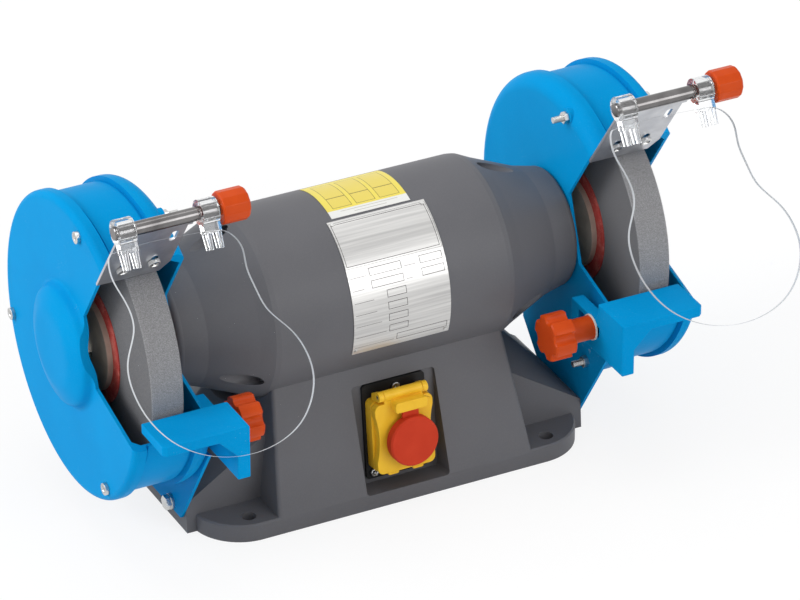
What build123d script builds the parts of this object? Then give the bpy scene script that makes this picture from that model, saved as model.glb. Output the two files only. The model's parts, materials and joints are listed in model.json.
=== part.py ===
from build123d import *
from math import atan2, cos, degrees, radians, sin
import os

os.makedirs("parts", exist_ok=True)

# Bench grinder, millimetres. X runs along the shaft to the viewer's right, the front faces -Y, Z is up.
# The origin is the centre of the four foot holes on the underside.

# Grinding wheels and shaft
shaft_height = 147.0
wheel_radius = 100.0
wheel_width = 25.0
wheel_offset = 196.5
wheel_bore = 8.0
shaft_radius = 12.5
journal_radius = 10.0
flange_radius = 36.0
flange_thickness = 7.0
blotter_radius = 46.5
blotter_thickness = 0.8
nut_across_flats = 24.0
nut_thickness = 12.0
shaft_tail = 2.2

# Bearings
bearing_radius = 23.5
bearing_width = 14.0
bearing_start = 138.0
race_depth = 4.2
ball_radius = 3.6
ball_count = 8

# Motor
housing_radius = 70.0
housing_wall = 6.0
housing_half_length = 92.5
bell_end = 163.0
bell_end_radius = 46.0
bell_wall = 6.0
bell_lip = 5.0
register_length = 4.0
tie_count = 3
tie_radius = 2.5
tie_circle = housing_radius - housing_wall - tie_radius - 1.0
tie_angle = 90.0
tie_seat = housing_half_length + 6.0
tie_pocket_radius = 6.5
stator_half_length = 40.0
stator_bore = 37.0
rotor_radius = 36.4
winding_length = 22.0
winding_depth = tie_circle - tie_radius - stator_bore - 6.0
housing_screw_x = 65.0
wire_hole_radius = 9.0

# Plate and film on the motor, angles about the shaft from the front upward
name_left = -35.0
name_right = 43.5
name_top = 68.0
name_span = 88.0
name_thickness = 0.5
label_left = -29.5
label_right = 34.0
label_top = 114.0
label_span = 44.0
label_thickness = 0.3
glue_gap = 0.1

# Guards
guard_inner_face = bell_end
guard_outer_face = 228.0
guard_seam = 195.5
guard_wall = 2.5
drum_radius = 111.0
bead_radius = 114.5
groove_width = 2.4
groove_depth = 1.2
hub_hole_radius = 24.0
inner_round = 12.0
outer_round = 5.0
opening_top = 56.0
opening_bottom = -15.0
opening_corner_top = (48.5, 55.0)
opening_corner_low = (47.0, -13.5)
cover_bolt_circle = 105.0
cover_bolt_angles = (77.0, -55.0, -166.0)
cover_bolt_radius = 2.4
cover_bolt_tail = 12.0
mount_circle = 33.0
mount_angles = (90.0, 210.0, -30.0)
mount_screw_radius = 2.5
boss_radius = 47.0
boss_shift = -4.0
boss_height = 12.5
lug_front = (99.0, -55.0)
lug_low_front = 48.0
lug_low_rear = -6.0
lug_low_height = 11.0
lug_rear = (-40.0, -99.0)
lug_rear_top = (-20.0, -67.0)
lug_bolt_forward = 33.0
lug_bolt_height = 17.0
lug_bolt_radius = 3.0

# Spark arrestor and eye shield
arrestor_lean = 35.0
arrestor_edge_y = -62.0
arrestor_edge_z = shaft_height + 85.5
arrestor_thickness = 2.0
arrestor_left = -36.0
arrestor_right = 18.0
arrestor_screw_height = 19.0
arrestor_screw_places = (-21.0, 3.0)
arrestor_travel = 8.0
rod_height = 80.0
rod_radius = 5.0
rod_left = -42.0
rod_right = 52.0
clamp_places = (-34.0, 29.0)
clamp_radius = 9.5
clamp_width = 13.0
prong_low = -27.0
prong_width = 5.2
prong_tip = 2.8
shield_tilt = 30.0
shield_thickness = 3.0
shield_knob_start = 37.5
shield_knob_length = 21.0
shield_knob_radius = 12.2
shield_outline = [
    (-46, -13),
    (-20, -11.5),
    (20, -13),
    (40, -17),
    (48.5, -30),
    (48.5, -44),
    (51, -58),
    (56, -75),
    (70, -94),
    (78, -113),
    (79, -127),
    (74, -143),
    (62, -158),
    (42, -168),
    (15, -170.5),
    (-9, -165),
    (-33, -150),
    (-48, -129),
    (-54, -109),
    (-53, -88),
    (-43, -66),
    (-46, -43),
    (-50.5, -22),
]

# Tool rest
rest_bolt_forward = 95.0
rest_bolt_height = shaft_height - 34.0
rest_bolt_radius = 4.0
rest_top = shaft_height - 10.0
rest_rear = -104.0
rest_front = -142.0
rest_inner = 147.0
rest_outer = 214.0
rest_thickness = 8.0
rest_leg_thickness = 10.0
rest_leg_bottom = shaft_height - 52.0
rest_leg_rear = -64.0
rest_travel_out = 12.0
rest_travel_in = 2.0
key_length = 16.0
key_height = 8.4
left_rest_shift = 5.5
knob_head_radius = 17.6
knob_head_length = 17.0
knob_boss_radius = 9.0
right_knob_boss = 21.0
left_knob_boss = 9.0
knob_notch_radius = 4.4

# Pedestal
foot_inset = 7.0
foot_half_length = guard_inner_face - foot_inset
foot_half_depth = 86.0
foot_corner = 39.0
foot_thickness = 14.0
foot_hole_x = 122.4
foot_hole_y = 72.8
foot_hole_radius = 5.5
foot_edge = 1.2
body_base = foot_thickness - foot_edge
body_top = 104.0
body_low_half_width = 104.3
body_low_half_depth = foot_half_depth
body_top_half_width = 94.0
body_top_half_depth = 54.7
casting_wall = 6.0
wing_end = guard_inner_face
wing_ridge_half = 15.0
wing_edge_half = 52.0
wing_foot_half = 54.0
wing_end_height = 24.0
wing_ridge_root = 95.0
wing_edge_root = 66.0

# Bottom plate
plate_half_length = 101.0
plate_half_depth = 80.0
plate_thickness = 2.0
plate_recess = 5.0
plate_screw_x = 91.0
plate_screw_y = 70.0

# Cable gland and capacitor
gland_x = 50.0
gland_z = 45.0
gland_bore = 3.5
gland_thread_radius = 7.0
capacitor_radius = 18.0
capacitor_length = 62.0
capacitor_x = -85.0
capacitor_y = 25.0

# Switch
switch_x = 1.5
switch_y = -64.0
switch_z = 52.0
switch_lean = 6.2
switch_plate_width = 51.0
switch_plate_height = 76.0
switch_plate_thickness = 2.5
pocket_width = 68.0
pocket_low = -42.0
pocket_high = 39.0
switch_base_width = 47.0
switch_base_height = 56.0
switch_base_depth = 9.0
switch_shift = -0.5
switch_block_depth = 26.0
cover_depth = 7.0
cover_wall = 2.0
hinge_height = 33.0
hinge_depth = 13.6
hinge_radius = 4.0
hinge_pin_radius = 1.5
button_width = 22.0
button_height = 15.0
button_rise = 2.0
paddle_radius = 19.5
paddle_x = 2.5
paddle_v = -3.0
paddle_start = 19.5
paddle_depth = 7.5
switch_screws = [(1.5, 32.0), (-19.5, -33.0), (19.5, -33.0)]
cover_bar = 15.6
arm_width = 4.0
waist_radius = 70.0
waist_depth = 2.5
tongue_half = 6.5
tongue_top = 27.0
bridge_low = 21.5
bridge_high = 29.5
bridge_rise = 5.0

# Fits
running_fit = 0.05
slide_fit = 0.1
face_gap = 0.2

shaft_axis = Axis((0, 0, shaft_height), (1, 0, 0))
profile_plane = Plane(origin=(0, 0, shaft_height), x_dir=(1, 0, 0), z_dir=(0, -1, 0))


def side_plane(x):
    """Plane across the shaft at x: local x runs forward, local y up, the normal along -X."""
    return Plane(origin=(x, 0, shaft_height), x_dir=(0, -1, 0), z_dir=(-1, 0, 0))


def polar(radius, angle):
    """Forward and up coordinates of a point about the shaft, the angle taken from the front upward."""
    return (radius * cos(radians(angle)), radius * sin(radians(angle)))


# Wheel stack positions along the shaft, right-hand side
wheel_inner = wheel_offset - wheel_width / 2
wheel_outer = wheel_offset + wheel_width / 2
inner_flange_start = wheel_inner - blotter_thickness - flange_thickness
nut_start = wheel_outer + blotter_thickness + flange_thickness
shaft_end = nut_start + nut_thickness + shaft_tail
drum_inner = drum_radius - guard_wall
inner_groove = guard_inner_face + inner_round + 4
outer_groove = guard_outer_face - outer_round - 5
rest_bolt_place = (rest_bolt_forward, rest_bolt_height - shaft_height)
lug_place = (lug_bolt_forward, lug_bolt_height - shaft_height)
bolt_places = [polar(cover_bolt_circle, a) for a in cover_bolt_angles]

# Rotating parts

with BuildPart() as rotor_shaft:
    with BuildSketch(profile_plane):
        with BuildLine():
            Polyline(
                (0, 0),
                (0, shaft_radius),
                (bearing_start, shaft_radius),
                (bearing_start, journal_radius),
                (inner_flange_start, journal_radius),
                (inner_flange_start, wheel_bore),
                (shaft_end - 1.5, wheel_bore),
                (shaft_end, wheel_bore - 1.5),
                (shaft_end, 0),
                close=True,
            )
        make_face()
    revolve(axis=shaft_axis)
    mirror(about=Plane.YZ)
rotor_shaft.part.label = "rotor_shaft"
export_step(rotor_shaft.part, "parts/rotor_shaft.step")

with BuildPart() as rotor_core:
    with BuildSketch(side_plane(stator_half_length)):
        Circle(rotor_radius)
        Circle(shaft_radius, mode=Mode.SUBTRACT)
    extrude(amount=2 * stator_half_length)
rotor_core.part.label = "rotor_core"
export_step(rotor_core.part, "parts/rotor_core.step")

with BuildPart() as right_wheel:
    with BuildSketch(side_plane(wheel_outer)):
        Circle(wheel_radius)
        Circle(wheel_bore, mode=Mode.SUBTRACT)
    extrude(amount=wheel_width)
    rim_edges = right_wheel.edges().filter_by(GeomType.CIRCLE).group_by(SortBy.RADIUS)[-1]
    chamfer(rim_edges, 0.8)
right_wheel.part.label = "right_wheel"
export_step(right_wheel.part, "parts/right_wheel.step")

with BuildPart() as left_wheel:
    mirror(right_wheel.part, about=Plane.YZ)
left_wheel.part.label = "left_wheel"
export_step(left_wheel.part, "parts/left_wheel.step")

with BuildPart() as paper_blotters:
    for start in (wheel_inner, wheel_outer + blotter_thickness):
        with BuildSketch(side_plane(start)):
            Circle(blotter_radius)
            Circle(wheel_bore, mode=Mode.SUBTRACT)
        extrude(amount=blotter_thickness)
    mirror(about=Plane.YZ)
paper_blotters.part.label = "paper_blotters"
export_step(paper_blotters.part, "parts/paper_blotters.step")

with BuildPart() as wheel_flanges:
    with BuildSketch(profile_plane):
        with BuildLine():
            Polyline(
                (inner_flange_start, wheel_bore),
                (inner_flange_start, 0.45 * flange_radius),
                (inner_flange_start + 0.4 * flange_thickness, flange_radius),
                (inner_flange_start + flange_thickness, flange_radius),
                (inner_flange_start + flange_thickness, 0.7 * flange_radius),
                (inner_flange_start + flange_thickness - 1.5, 0.7 * flange_radius),
                (inner_flange_start + flange_thickness - 1.5, wheel_bore),
                close=True,
            )
        make_face()
    revolve(axis=shaft_axis)
    mirror(about=Plane.YZ.offset(wheel_offset))
    mirror(about=Plane.YZ)
wheel_flanges.part.label = "wheel_flanges"
export_step(wheel_flanges.part, "parts/wheel_flanges.step")

with BuildPart() as wheel_nuts:
    with BuildSketch(side_plane(nut_start + nut_thickness)):
        RegularPolygon(nut_across_flats / 2, 6, major_radius=False)
        Circle(wheel_bore, mode=Mode.SUBTRACT)
    extrude(amount=nut_thickness)
    mirror(about=Plane.YZ)
wheel_nuts.part.label = "wheel_nuts"
export_step(wheel_nuts.part, "parts/wheel_nuts.step")

race_middle = (bearing_radius + journal_radius) / 2
bearing_middle = bearing_start + bearing_width / 2

with BuildPart() as bearing_inner_rings:
    with BuildSketch(profile_plane):
        with Locations((bearing_middle, journal_radius + race_depth / 2)):
            Rectangle(bearing_width, race_depth)
        with Locations((bearing_middle, race_middle)):
            Circle(ball_radius + running_fit, mode=Mode.SUBTRACT)
    revolve(axis=shaft_axis)
    mirror(about=Plane.YZ)
bearing_inner_rings.part.label = "bearing_inner_rings"
export_step(bearing_inner_rings.part, "parts/bearing_inner_rings.step")

with BuildPart() as bearing_outer_rings:
    with BuildSketch(profile_plane):
        with Locations((bearing_middle, bearing_radius - race_depth / 2)):
            Rectangle(bearing_width, race_depth)
        with Locations((bearing_middle, race_middle)):
            Circle(ball_radius + running_fit, mode=Mode.SUBTRACT)
    revolve(axis=shaft_axis)
    mirror(about=Plane.YZ)
bearing_outer_rings.part.label = "bearing_outer_rings"
export_step(bearing_outer_rings.part, "parts/bearing_outer_rings.step")

with BuildPart() as bearing_balls:
    with Locations(side_plane(bearing_middle)):
        with PolarLocations(race_middle, ball_count):
            Sphere(ball_radius)
    mirror(about=Plane.YZ)
bearing_balls.part.label = "bearing_balls"
export_step(bearing_balls.part, "parts/bearing_balls.step")

# Motor

housing_bore = housing_radius - housing_wall

with BuildPart() as motor_housing:
    with BuildSketch(side_plane(housing_half_length)):
        Circle(housing_radius)
        Circle(housing_bore, mode=Mode.SUBTRACT)
    extrude(amount=2 * housing_half_length)
    with BuildSketch(Plane.XY.offset(shaft_height - housing_radius - 1)):
        with Locations((-housing_screw_x, 0), (housing_screw_x, 0)):
            Circle(lug_bolt_radius)
        Circle(wire_hole_radius)
    extrude(amount=housing_radius - stator_bore, mode=Mode.SUBTRACT)
motor_housing.part.label = "motor_housing"
export_step(motor_housing.part, "parts/motor_housing.step")

with BuildPart() as bell_cavity:
    with BuildSketch(profile_plane):
        with BuildLine():
            Polyline(
                (housing_half_length - register_length, 0),
                (housing_half_length - register_length, housing_bore - bell_wall),
                (housing_half_length + 4, housing_bore - bell_wall),
                (bearing_start - 8, bell_end_radius),
                (bearing_start - 8, bearing_radius + bell_wall),
                (bearing_start - 4, bearing_radius + bell_wall),
                (bearing_start - 4, 0),
                close=True,
            )
        make_face()
    revolve(axis=shaft_axis)
    with BuildSketch(side_plane(bell_end)):
        with PolarLocations(tie_circle, tie_count, start_angle=tie_angle):
            Circle(tie_pocket_radius + 2)
    extrude(amount=bell_end - housing_half_length + register_length, mode=Mode.SUBTRACT)

with BuildPart() as right_end_bell:
    with BuildSketch(profile_plane):
        with BuildLine():
            Polyline(
                (housing_half_length - register_length, 0),
                (housing_half_length - register_length, housing_bore),
                (housing_half_length, housing_bore),
                (housing_half_length, housing_radius),
                (housing_half_length + 4, housing_radius - 0.6),
                (housing_half_length + 14, housing_radius - 5.5),
                (bell_end - 22, bell_end_radius + 4),
                (bell_end - bell_lip, bell_end_radius),
            )
            lip_start = (bell_end - bell_lip, bell_end_radius)
            lip_end = (bell_end, bell_end_radius - bell_lip)
            RadiusArc(lip_start, lip_end, bell_lip)
            Polyline(
                (bell_end, bell_end_radius - bell_lip),
                (bell_end, 0),
                (housing_half_length - register_length, 0),
            )
        make_face()
    revolve(axis=shaft_axis)
    add(bell_cavity.part, mode=Mode.SUBTRACT)
    with BuildSketch(side_plane(bearing_start + bearing_width)):
        Circle(bearing_radius)
    extrude(amount=bearing_width + 5, mode=Mode.SUBTRACT)
    with BuildSketch(side_plane(bell_end)):
        Circle(shaft_radius)
        with Locations([polar(mount_circle, a) for a in mount_angles]):
            Circle(mount_screw_radius)
    extrude(amount=bell_end - bearing_start - bearing_width, mode=Mode.SUBTRACT)
    with BuildSketch(side_plane(bell_end)):
        with PolarLocations(tie_circle, tie_count, start_angle=tie_angle):
            Circle(tie_pocket_radius)
    extrude(amount=bell_end - tie_seat, mode=Mode.SUBTRACT)
    with BuildSketch(side_plane(tie_seat)):
        with PolarLocations(tie_circle, tie_count, start_angle=tie_angle):
            Circle(tie_radius)
    extrude(amount=tie_seat - housing_half_length + register_length, mode=Mode.SUBTRACT)
right_end_bell.part.label = "right_end_bell"
export_step(right_end_bell.part, "parts/right_end_bell.step")

with BuildPart() as left_end_bell:
    mirror(right_end_bell.part, about=Plane.YZ)
left_end_bell.part.label = "left_end_bell"
export_step(left_end_bell.part, "parts/left_end_bell.step")

with BuildPart() as tie_bolts:
    with BuildSketch(side_plane(tie_seat + 3)):
        with PolarLocations(tie_circle, tie_count, start_angle=tie_angle):
            Circle(tie_radius)
    extrude(amount=2 * tie_seat + 6)
    with BuildSketch(side_plane(tie_seat + 4)):
        with PolarLocations(tie_circle, tie_count, start_angle=tie_angle):
            RegularPolygon(4, 6, major_radius=False)
    extrude(amount=4)
    with BuildSketch(side_plane(-tie_seat)):
        with PolarLocations(tie_circle, tie_count, start_angle=tie_angle):
            RegularPolygon(4, 6, major_radius=False)
    extrude(amount=3.5)
tie_bolts.part.label = "tie_bolts"
export_step(tie_bolts.part, "parts/tie_bolts.step")

with BuildPart() as stator_core:
    with BuildSketch(side_plane(stator_half_length)):
        Circle(housing_bore)
        Circle(stator_bore, mode=Mode.SUBTRACT)
        with PolarLocations(tie_circle, tie_count, start_angle=tie_angle):
            Circle(tie_radius + 0.3, mode=Mode.SUBTRACT)
    extrude(amount=2 * stator_half_length)
stator_core.part.label = "stator_core"
export_step(stator_core.part, "parts/stator_core.step")

with BuildPart() as stator_windings:
    with BuildSketch(profile_plane):
        with Locations((stator_half_length + winding_length / 2, stator_bore + 2.5 + winding_depth / 2)):
            RectangleRounded(winding_length, winding_depth, 0.3 * winding_depth)
    revolve(axis=shaft_axis)
    mirror(about=Plane.YZ)
stator_windings.part.label = "stator_windings"
export_step(stator_windings.part, "parts/stator_windings.step")


def housing_plane(angle):
    """Plane through the shaft at an angle above the front: local x along the shaft, local y outward."""
    return Plane(
        origin=(0, 0, shaft_height),
        x_dir=(1, 0, 0),
        z_dir=(0, -sin(radians(angle)), -cos(radians(angle))),
    )


with BuildPart() as nameplate:
    with BuildSketch(housing_plane(name_top)):
        with Locations(((name_left + name_right) / 2, housing_radius + glue_gap + name_thickness / 2)):
            Rectangle(name_right - name_left, name_thickness)
    revolve(axis=shaft_axis, revolution_arc=name_span)
nameplate.part.label = "nameplate"
export_step(nameplate.part, "parts/nameplate.step")

with BuildPart() as nameplate_rivets:
    for angle in (name_top - 2.5, name_top - name_span + 2.5):
        radial = (0, -cos(radians(angle)), sin(radians(angle)))
        for x in (name_left + 3, name_right - 3):
            rivet_seat = housing_radius + glue_gap + name_thickness + glue_gap
            rivet_plane = Plane(
                origin=(x, radial[1] * rivet_seat, shaft_height + radial[2] * rivet_seat),
                x_dir=(1, 0, 0),
                z_dir=radial,
            )
            with BuildSketch(rivet_plane):
                Circle(1.3)
            extrude(amount=0.7)
nameplate_rivets.part.label = "nameplate_rivets"
export_step(nameplate_rivets.part, "parts/nameplate_rivets.step")

with BuildPart() as guide_label:
    with BuildSketch(housing_plane(label_top)):
        with Locations(((label_left + label_right) / 2, housing_radius + glue_gap + label_thickness / 2)):
            Rectangle(label_right - label_left, label_thickness)
    revolve(axis=shaft_axis, revolution_arc=label_span)
guide_label.part.label = "guide_label"
export_step(guide_label.part, "parts/guide_label.step")

# Pedestal

switch_plane = Plane(
    origin=(switch_x, switch_y, switch_z),
    x_dir=(1, 0, 0),
    z_dir=(0, -cos(radians(switch_lean)), sin(radians(switch_lean))),
)
pocket_middle = (pocket_low + pocket_high) / 2
pocket_height = pocket_high - pocket_low
wall_run = body_low_half_depth - body_top_half_depth
wall_slope = degrees(atan2(wall_run, body_top - body_base))
gland_y = body_low_half_depth - wall_run * (gland_z - body_base) / (body_top - body_base)
gland_plane = Plane(
    origin=(gland_x, gland_y, gland_z),
    x_dir=(-1, 0, 0),
    z_dir=(0, cos(radians(wall_slope)), sin(radians(wall_slope))),
)

with BuildPart() as pedestal_cavity:
    with BuildSketch(Plane.XY.offset(-1)):
        Rectangle(2 * (body_low_half_width - casting_wall), 2 * (body_low_half_depth - casting_wall))
    with BuildSketch(Plane.XY.offset(body_top - casting_wall)):
        Rectangle(2 * (body_top_half_width - casting_wall), 2 * (body_top_half_depth - casting_wall))
    loft()
    with BuildSketch(side_plane(foot_half_length)):
        Circle(housing_radius + casting_wall)
    extrude(amount=2 * foot_half_length, mode=Mode.SUBTRACT)
    with BuildSketch(switch_plane.offset(-switch_plate_thickness - casting_wall)):
        with Locations((0, pocket_middle)):
            Rectangle(pocket_width + 2 * casting_wall, pocket_height + 2 * casting_wall)
    extrude(amount=60, mode=Mode.SUBTRACT)
    with BuildSketch(Plane.XY.offset(-1)):
        with GridLocations(2 * plate_screw_x, 2 * plate_screw_y, 2, 2):
            Circle(8)
    extrude(amount=22, mode=Mode.SUBTRACT)

with BuildPart() as pedestal_body:
    with BuildSketch(Plane.XY.offset(body_base)):
        Rectangle(2 * body_low_half_width, 2 * body_low_half_depth)
    with BuildSketch(Plane.XY.offset(body_top)):
        Rectangle(2 * body_top_half_width, 2 * body_top_half_depth)
    loft()
    fillet(pedestal_body.edges().filter_by(lambda e: abs(e.tangent_at(0.5).Z) > 0.5), 3)


def wing_section(ridge, edge, inset):
    """Outline across the sloping wing from its ridge and edge heights, all faces moved in by the inset."""
    return [
        (-(wing_foot_half - inset), -inset),
        (-(wing_edge_half - inset), edge - inset),
        (-max(wing_ridge_half - inset, 1), ridge - inset),
        (max(wing_ridge_half - inset, 1), ridge - inset),
        (wing_edge_half - inset, edge - inset),
        (wing_foot_half - inset, -inset),
    ]


wing_root = body_top_half_width - 20

with BuildPart() as wing_cavity:
    with BuildSketch(Plane.YZ.offset(wing_root)):
        Polygon(wing_section(wing_ridge_root + 20, wing_edge_root + 14, casting_wall + 4), align=None)
    with BuildSketch(Plane.YZ.offset(wing_end - 2 * casting_wall)):
        Polygon(wing_section(wing_end_height + 6, wing_end_height + 4, casting_wall + 4), align=None)
    loft(ruled=True)
    with BuildSketch(Plane.XY.offset(-20)):
        Rectangle(2 * (body_low_half_width + casting_wall), 4 * foot_half_depth)
    extrude(amount=200, mode=Mode.SUBTRACT)
    mirror(about=Plane.YZ)

with BuildPart() as pedestal:
    with BuildSketch(Plane.XY):
        RectangleRounded(2 * foot_half_length, 2 * foot_half_depth, foot_corner)
    extrude(amount=foot_thickness)
    chamfer(pedestal.faces().sort_by(Axis.Z)[-1].edges(), foot_edge)
    with BuildSketch(Plane.YZ.offset(wing_root)):
        Polygon(wing_section(wing_ridge_root + 28, wing_edge_root + 16, 0), align=None)
    with BuildSketch(Plane.YZ.offset(wing_end)):
        Polygon(wing_section(wing_end_height, wing_end_height - 0.5, 0), align=None)
    loft(ruled=True)
    mirror(about=Plane.YZ)
    add(pedestal_body.part)
    with BuildSketch(side_plane(foot_half_length + 20)):
        Circle(housing_radius)
    extrude(amount=2 * foot_half_length + 40, mode=Mode.SUBTRACT)
    add(pedestal_cavity.part, mode=Mode.SUBTRACT)
    add(wing_cavity.part, mode=Mode.SUBTRACT)
    with BuildSketch(switch_plane.offset(-switch_plate_thickness)):
        with Locations((0, pocket_middle)):
            RectangleRounded(pocket_width, pocket_height, 3)
    extrude(amount=50, mode=Mode.SUBTRACT)
    with BuildSketch(switch_plane):
        with Locations((0, switch_shift)):
            Rectangle(switch_base_width - 9, switch_base_height - 9)
    extrude(amount=-4 * casting_wall, mode=Mode.SUBTRACT)
    with BuildSketch(switch_plane):
        with Locations(switch_screws):
            Circle(1.5)
    extrude(amount=-switch_plate_thickness - casting_wall + 1, mode=Mode.SUBTRACT)
    with BuildSketch(Plane.XY.offset(-1)):
        Rectangle(2 * plate_half_length + 0.4, 2 * plate_half_depth + 0.4)
    extrude(amount=plate_recess + 1, mode=Mode.SUBTRACT)
    with BuildSketch(Plane.XY.offset(-1)):
        with GridLocations(2 * foot_hole_x, 2 * foot_hole_y, 2, 2):
            Circle(foot_hole_radius)
    extrude(amount=foot_thickness + 10, mode=Mode.SUBTRACT)
    with BuildSketch(Plane.XY.offset(-1)):
        with GridLocations(2 * plate_screw_x, 2 * plate_screw_y, 2, 2):
            Circle(2)
    extrude(amount=18, mode=Mode.SUBTRACT)
    with BuildSketch(Plane.XY.offset(shaft_height - housing_radius + 4)):
        with Locations((-housing_screw_x, 0), (housing_screw_x, 0)):
            Circle(lug_bolt_radius)
        Circle(wire_hole_radius)
    extrude(amount=-casting_wall - 6, mode=Mode.SUBTRACT)
    with BuildSketch(side_plane(wing_end + 1)):
        with Locations(lug_place):
            Circle(lug_bolt_radius)
    extrude(amount=11, mode=Mode.SUBTRACT)
    with BuildSketch(side_plane(-wing_end + 10)):
        with Locations(lug_place):
            Circle(lug_bolt_radius)
    extrude(amount=11, mode=Mode.SUBTRACT)
    with BuildSketch(gland_plane.offset(5)):
        Circle(gland_thread_radius)
    extrude(amount=-20, mode=Mode.SUBTRACT)
pedestal.part.label = "pedestal"
export_step(pedestal.part, "parts/pedestal.step")

with BuildPart() as cable_gland:
    with BuildSketch(gland_plane):
        RegularPolygon(10, 6, major_radius=False)
        Circle(gland_bore, mode=Mode.SUBTRACT)
    extrude(amount=5)
    with BuildSketch(gland_plane.offset(5)):
        Circle(8)
        Circle(gland_bore, mode=Mode.SUBTRACT)
    extrude(amount=9)
    with BuildSketch(gland_plane):
        Circle(gland_thread_radius)
        Circle(gland_bore, mode=Mode.SUBTRACT)
    extrude(amount=-12)
cable_gland.part.label = "cable_gland"
export_step(cable_gland.part, "parts/cable_gland.step")

with BuildPart() as base_cover:
    with BuildSketch(Plane.XY.offset(plate_recess - plate_thickness)):
        Rectangle(2 * plate_half_length, 2 * plate_half_depth)
        with GridLocations(2 * plate_screw_x, 2 * plate_screw_y, 2, 2):
            Circle(2, mode=Mode.SUBTRACT)
        with GridLocations(12, 0, 9, 1):
            SlotOverall(30, 4, rotation=90, mode=Mode.SUBTRACT)
    extrude(amount=plate_thickness)
base_cover.part.label = "base_cover"
export_step(base_cover.part, "parts/base_cover.step")

with BuildPart() as base_cover_screws:
    with BuildSketch(Plane.XY.offset(plate_recess - plate_thickness)):
        with GridLocations(2 * plate_screw_x, 2 * plate_screw_y, 2, 2):
            Circle(4)
    extrude(amount=-2)
    with BuildSketch(Plane.XY.offset(plate_recess - plate_thickness)):
        with GridLocations(2 * plate_screw_x, 2 * plate_screw_y, 2, 2):
            Circle(2)
    extrude(amount=12)
base_cover_screws.part.label = "base_cover_screws"
export_step(base_cover_screws.part, "parts/base_cover_screws.step")

with BuildPart() as housing_screws:
    with BuildSketch(Plane.XY.offset(shaft_height - housing_bore)):
        with Locations((-housing_screw_x, 0), (housing_screw_x, 0)):
            Circle(lug_bolt_radius)
    extrude(amount=-housing_wall - casting_wall)
    with BuildSketch(Plane.XY.offset(shaft_height - housing_radius - casting_wall)):
        with Locations((-housing_screw_x, 0), (housing_screw_x, 0)):
            RegularPolygon(5, 6, major_radius=False)
    extrude(amount=-4)
housing_screws.part.label = "housing_screws"
export_step(housing_screws.part, "parts/housing_screws.step")

with BuildPart() as capacitor:
    with BuildSketch(Plane.YZ.offset(capacitor_x)):
        with Locations((capacitor_y, plate_recess + 3 + capacitor_radius)):
            Circle(capacitor_radius)
    extrude(amount=capacitor_length)
    with BuildSketch(Plane.XY.offset(plate_recess)):
        with Locations((capacitor_x + capacitor_length / 2, capacitor_y)):
            Rectangle(capacitor_length / 2, 2 * capacitor_radius + 8)
    extrude(amount=8)
capacitor.part.label = "capacitor"
export_step(capacitor.part, "parts/capacitor.step")

# Guards

opening_far = 3 * bead_radius
opening_points = [
    polar(opening_far, opening_top),
    polar(*opening_corner_top),
    polar(*opening_corner_low),
    polar(opening_far, opening_bottom),
]

with BuildPart() as right_guard_shell:
    with BuildSketch(profile_plane):
        with BuildLine():
            face = guard_inner_face
            inner = guard_inner_face + guard_wall
            Line((face, hub_hole_radius), (face, bead_radius - inner_round))
            RadiusArc((face, bead_radius - inner_round), (face + inner_round, bead_radius), inner_round)
            Polyline(
                (face + inner_round, bead_radius),
                (inner_groove, bead_radius),
                (inner_groove, drum_radius - groove_depth),
                (inner_groove + groove_width, drum_radius - groove_depth),
                (inner_groove + groove_width, drum_radius),
                (guard_seam, drum_radius),
                (guard_seam, drum_inner),
                (inner + inner_round - 1, drum_inner),
                (inner, drum_inner - inner_round + 3),
                (inner, hub_hole_radius),
                (face, hub_hole_radius),
            )
        make_face()
    revolve(axis=shaft_axis)
    with BuildSketch(side_plane(guard_inner_face + guard_wall)):
        Polygon(
            [
                lug_front,
                (lug_low_front, lug_low_height - shaft_height),
                (lug_low_rear, lug_low_height - shaft_height),
                lug_rear,
                lug_rear_top,
            ],
            align=None,
        )
    extrude(amount=guard_wall)
    with BuildSketch(side_plane(guard_inner_face + 9)):
        with Locations(bolt_places):
            Circle(6.5)
    extrude(amount=9)
    with BuildSketch(side_plane(guard_outer_face)):
        Polygon(opening_points, align=None)
    extrude(amount=guard_outer_face - guard_inner_face, mode=Mode.SUBTRACT)
    with BuildSketch(side_plane(guard_outer_face)):
        with Locations(bolt_places):
            Circle(cover_bolt_radius)
        with Locations([polar(mount_circle, a) for a in mount_angles]):
            Circle(mount_screw_radius)
        with Locations(lug_place):
            Circle(lug_bolt_radius)
        with Locations(rest_bolt_place):
            Circle(rest_bolt_radius)
    extrude(amount=guard_outer_face - rest_inner, mode=Mode.SUBTRACT)
    with BuildSketch(side_plane(guard_seam)):
        with Locations(rest_bolt_place):
            Circle(8)
    extrude(amount=guard_seam - guard_inner_face - guard_wall, mode=Mode.SUBTRACT)

arrestor_origin = (wheel_offset, arrestor_edge_y, arrestor_edge_z)
arrestor_normal = (0, -cos(radians(arrestor_lean)), -sin(radians(arrestor_lean)))
arrestor_plane = Plane(origin=arrestor_origin, x_dir=(1, 0, 0), z_dir=arrestor_normal)
flange_half = guard_seam - guard_inner_face - inner_round

# Tab that carries the spark arrestor, standing on the upper end of the inner drum
with BuildPart() as right_tab:
    with BuildSketch(arrestor_plane.offset(-slide_fit)):
        with Locations(((arrestor_left + 5 + arrestor_right - 4) / 2, 18.5)):
            Rectangle(arrestor_right - arrestor_left - 9, 23)
    extrude(amount=-3)
    with BuildSketch(arrestor_plane.offset(-slide_fit)):
        with Locations((guard_seam - wheel_offset - flange_half / 2 - 3, 4.25)):
            Rectangle(flange_half - 2, 7.5)
    extrude(amount=-9)
    with BuildSketch(arrestor_plane.offset(-slide_fit)):
        with Locations([(x, arrestor_screw_height) for x in arrestor_screw_places]):
            Circle(2.5)
    extrude(amount=-12, mode=Mode.SUBTRACT)

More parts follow.
